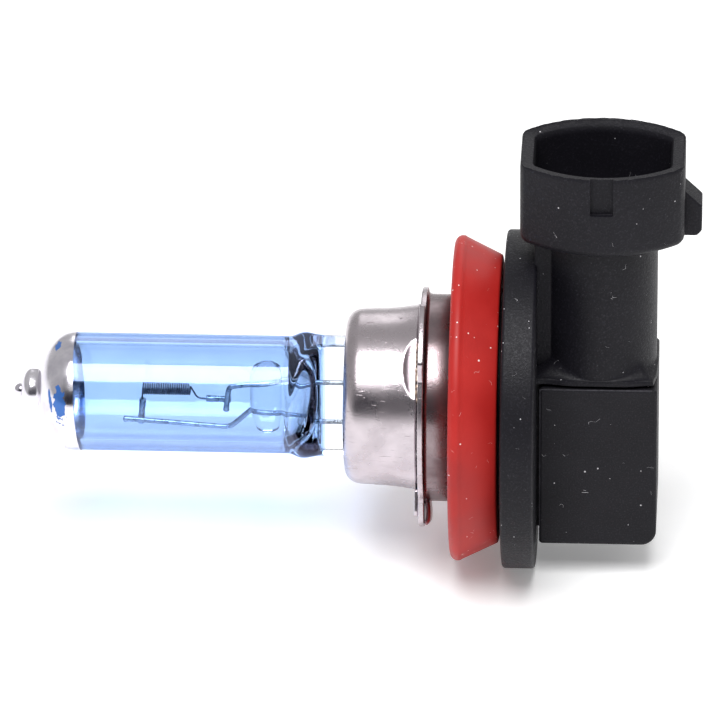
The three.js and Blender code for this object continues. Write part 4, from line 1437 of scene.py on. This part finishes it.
def flash(x, y, side):
    """How far the ragged line of flash stands down from the highest point of the rim."""
    rough = noise.noise(Vector((x * 1.7, y * 1.7, side * 4.0)))
    rough += 0.5 * noise.noise(Vector((x * 6, y * 6, side)))
    return 0.05 + 0.07 * max(rough, -0.4)


def socket_shape():
    rows = []
    for k in range(5):
        angle = math.pi / 2 * k / 4
        rows.append((0.9 * (1 - math.sin(angle)), SOCKET_BOTTOM_Z + 0.9 * (1 - math.cos(angle))))
    rows += [(0.0, SOCKET_BOTTOM_Z + 2.5), (0.0, SOCKET_BOTTOM_Z + 5.0), (0.0, socket_top_z - 0.5)]
    sections = [[(x, y, z) for x, y in socket_outline(d)] for d, z in rows]
    rim = [(0.02, 0.16, 1), (0.1, 0.0, 1), (0.24, 0.06, 0),
           (SOCKET_WALL - 0.5, 0.12, 0), (SOCKET_WALL - 0.2, 0.22, 0),
           (SOCKET_WALL - 0.04, 0.5, 0)]
    for d, down, ragged in rim:
        section = []
        for x, y in socket_outline(d):
            drop = flash(x, y, 1) if ragged else 0.1
            section.append((x, y, socket_top_z - down - drop))
        sections.append(section)
    for d, z in ((SOCKET_WALL, socket_top_z - 1.0), (SOCKET_WALL, 24.0), (SOCKET_WALL, SOCKET_FLOOR_Z + 0.3),
                 (SOCKET_WALL + 0.3, SOCKET_FLOOR_Z)):
        sections.append([(x, y, z) for x, y in socket_outline(d)])
    return lofted(sections)


socket = mesh_piece("socket", *socket_shape())
combine(base, socket, "UNION")
print("base faces with socket:", len(base.data.polygons))

# %% Keyway and latch ramp
KEYWAY_HALF_WIDTH = 1.1
KEYWAY_BOTTOM_Z = 23.5
KEYWAY_FLOOR_DEPTH = 6.2
BEYOND_TOP_Z = 28.5
BEYOND_FRONT = 8.5
LATCH_HALF_WIDTH = 1.6
LATCH_TOP_Z = 23.7

keyway = mesh_piece("keyway", *slab(
    rectangle(SOCKET_X - KEYWAY_HALF_WIDTH, KEYWAY_BOTTOM_Z, SOCKET_X + KEYWAY_HALF_WIDTH, BEYOND_TOP_Z,
              (0.12, 0.12, 0, 0)),
    KEYWAY_FLOOR_DEPTH, BEYOND_FRONT, 0.05, along_y))
combine(base, keyway, "DIFFERENCE")

wall_x = SOCKET_X + SOCKET_HALF_WIDTH
latch = mesh_piece("latch", *slab(
    eased([(wall_x - 0.7, 18.95, 0), (wall_x + 1.2, 18.95, 0.5), (body_high.x, 19.5, 0.3),
           (body_high.x, 22.1, 0.35),
           (wall_x, LATCH_TOP_Z, 0.2), (wall_x - 0.7, LATCH_TOP_Z, 0)], steps=5),
    -LATCH_HALF_WIDTH, LATCH_HALF_WIDTH, 0.22, along_y))
combine(base, latch, "UNION")

CHAMBER_HALF_DEPTH = 3.6
chamber = mesh_piece("chamber", *slab(
    rectangle(10.9, -12.6, 20.5, 3.7, (0, 0, 0.3, 0.3)),
    -CHAMBER_HALF_DEPTH, CHAMBER_HALF_DEPTH, 0.05, along_y))
combine(base, chamber, "DIFFERENCE")
crisp(base, 32)
finished(base, plastic, "base_body", slot="black_plastic")

# %% [markdown]
# The terminal cover is a separate cap that closes the wiring chamber. Its edges carry a thin burr, and
# a dark seam is left between it and the base.

# %% Terminal cover
def cover_shape(inset_by, low, high, edge):
    right, bottom, top = cover_high.x - inset_by, cover_low.z + inset_by, cover_high.z
    left = cover_low.x
    if inset_by:
        left, top = left - 2.0, top + 2.0
    corner = max(1.5 - inset_by, 0.3)
    small = 0.35
    outline = eased(
        [(left, bottom, small), (right, bottom, corner), (right, top, small), (left, top, small)],
        steps=8,
    )
    return slab(outline, low, high, edge, along_y)


cover = mesh_piece("wiring_cover", *cover_shape(0, -BOX_HALF_DEPTH, BOX_HALF_DEPTH, 0.25))
COVER_WALL = 1.1
HOLLOW_HALF_DEPTH = BOX_HALF_DEPTH - COVER_WALL
hollow = mesh_piece("hollow", *cover_shape(COVER_WALL, -HOLLOW_HALF_DEPTH, HOLLOW_HALF_DEPTH, 0.1))
combine(cover, hollow, "DIFFERENCE")
crisp(cover, 32)
cover_plastic = black_plastic("black_plastic_moulded_fine_grain", "#141318", "#1b1a1f", 0.55, 0.16, 0.5)
finished(cover, cover_plastic, "terminal_cover", slot="black_plastic")


def burr_shape():
    """A thin ragged lip along the cover's front and top edges."""
    route, radii = [], []
    corners = [(cover_low.x + 0.06, cover_low.z + 0.5), (cover_low.x + 0.06, cover_high.z - 0.12),
               (cover_high.x - 0.4, cover_high.z - 0.06)]
    for (x0, z0), (x1, z1) in zip(corners, corners[1:]):
        steps = int(math.hypot(x1 - x0, z1 - z0) / 0.12)
        for i in range(steps):
            x, z = x0 + (x1 - x0) * i / steps, z0 + (z1 - z0) * i / steps
            ragged = noise.noise(Vector((x * 3.1, 0.5, z * 3.1)))
            route.append((x, -BOX_HALF_DEPTH + 0.1 + 0.02 * ragged, z))
            radii.append(0.06 + 0.05 * max(ragged, -0.6))
    return swept(route, radii, 6)


burr = mesh_piece("cover_burr", *burr_shape(), crease=60)
finished(burr, black_plastic("black_plastic_torn_burr", "#2c2b30", "#46454b", 0.6), slot="black_plastic")

# %% [markdown]
# ## Inside pieces
# The clamp, the terminals and the sealing compound are flat-sided pieces whose measured shapes are
# right. Each gets a copy with eased edges, because punched and cast edges always catch some light.

# %% Terminals, clamp and compound
def tin_plate():
    """Brass strip, punched and tin plated: pale, warm grey, softly bright."""
    material, tree, place = new_material("brass_strip_tin_plated")
    cloud = add_node(tree, "ShaderNodeTexNoise", Vector=place, Scale=per_mm(1.2), Detail=4.0)
    tone = add_node(
        tree, "ShaderNodeValToRGB", {"color_ramp": [(0.3, "#bdb8a8"), (0.7, "#d9d6cc")]},
        Fac=cloud.outputs["Fac"],
    ).outputs["Color"]
    dull = add_node(
        tree, "ShaderNodeMapRange", Value=cloud.outputs["Fac"],
        From_Min=0.3, From_Max=0.7, To_Min=0.36, To_Max=0.22,
    ).outputs["Result"]
    bump = add_node(tree, "ShaderNodeBump", Strength=0.15, Distance=0.02 * MM, Height=cloud.outputs["Fac"])
    plate = add_node(tree, "ShaderNodeBsdfPrincipled", Base_Color=tone, Metallic=1.0, Roughness=dull,
                     Normal=bump.outputs["Normal"])
    show(tree, plate.outputs["BSDF"])
    return material


def sealing_compound():
    """Poured epoxy: dark amber-grey, glossy, with small bubbles."""
    material, tree, place = new_material("epoxy_compound_poured")
    bubbles = add_node(tree, "ShaderNodeTexVoronoi", Vector=place, Scale=per_mm(0.8))
    tone = add_node(
        tree, "ShaderNodeValToRGB", {"color_ramp": [(0.1, "#5a5046"), (0.5, "#3a342e")]},
        Fac=bubbles.outputs["Distance"],
    ).outputs["Color"]
    bump = add_node(
        tree, "ShaderNodeBump", Strength=0.3, Distance=0.05 * MM, Height=bubbles.outputs["Distance"],
    )
    epoxy = add_node(tree, "ShaderNodeBsdfPrincipled", Base_Color=tone, Roughness=0.32, IOR=1.55,
                     Normal=bump.outputs["Normal"])
    show(tree, epoxy.outputs["BSDF"])
    return material


def eased_copy(name, node, material, width, slot):
    """A copy of a measured piece with its edges eased by a small bevel."""
    piece = linked(name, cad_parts[node].data.copy())
    mesh = bmesh.new()
    mesh.from_mesh(piece.data)
    bmesh.ops.remove_doubles(mesh, verts=mesh.verts, dist=0.001 * MM)
    bmesh.ops.dissolve_limit(mesh, angle_limit=math.radians(1), verts=mesh.verts, edges=mesh.edges)
    sharp = [e for e in mesh.edges if len(e.link_faces) == 2 and e.calc_face_angle() > math.radians(40)]
    bmesh.ops.bevel(mesh, geom=sharp, offset=width * MM, segments=2, affect="EDGES", clamp_overlap=True)
    mesh.to_mesh(piece.data)
    mesh.free()
    crisp(piece, 40)
    return finished(piece, material, node, slot=slot)


plated = tin_plate()
eased_copy("upper_blade_terminal", "upper_terminal", plated, 0.12, "tinned_brass")
eased_copy("lower_blade_terminal", "lower_terminal", plated, 0.12, "tinned_brass")
eased_copy("pinch_spring_clamp", "pinch_clamp", steel, 0.08, "steel")
eased_copy("sealing_compound_fill", "potting_compound", sealing_compound(), 0.15, "potting")

# %% [markdown]
# ## Finish
# The sizes of the measured model and of the finished one are written side by side.

# %% Sizes and finish
shown_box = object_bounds()
for label, corners in (("measured", cad_box), ("finished", shown_box)):
    print(label, [[round(v / MM, 2) for v in corner] for corner in corners])
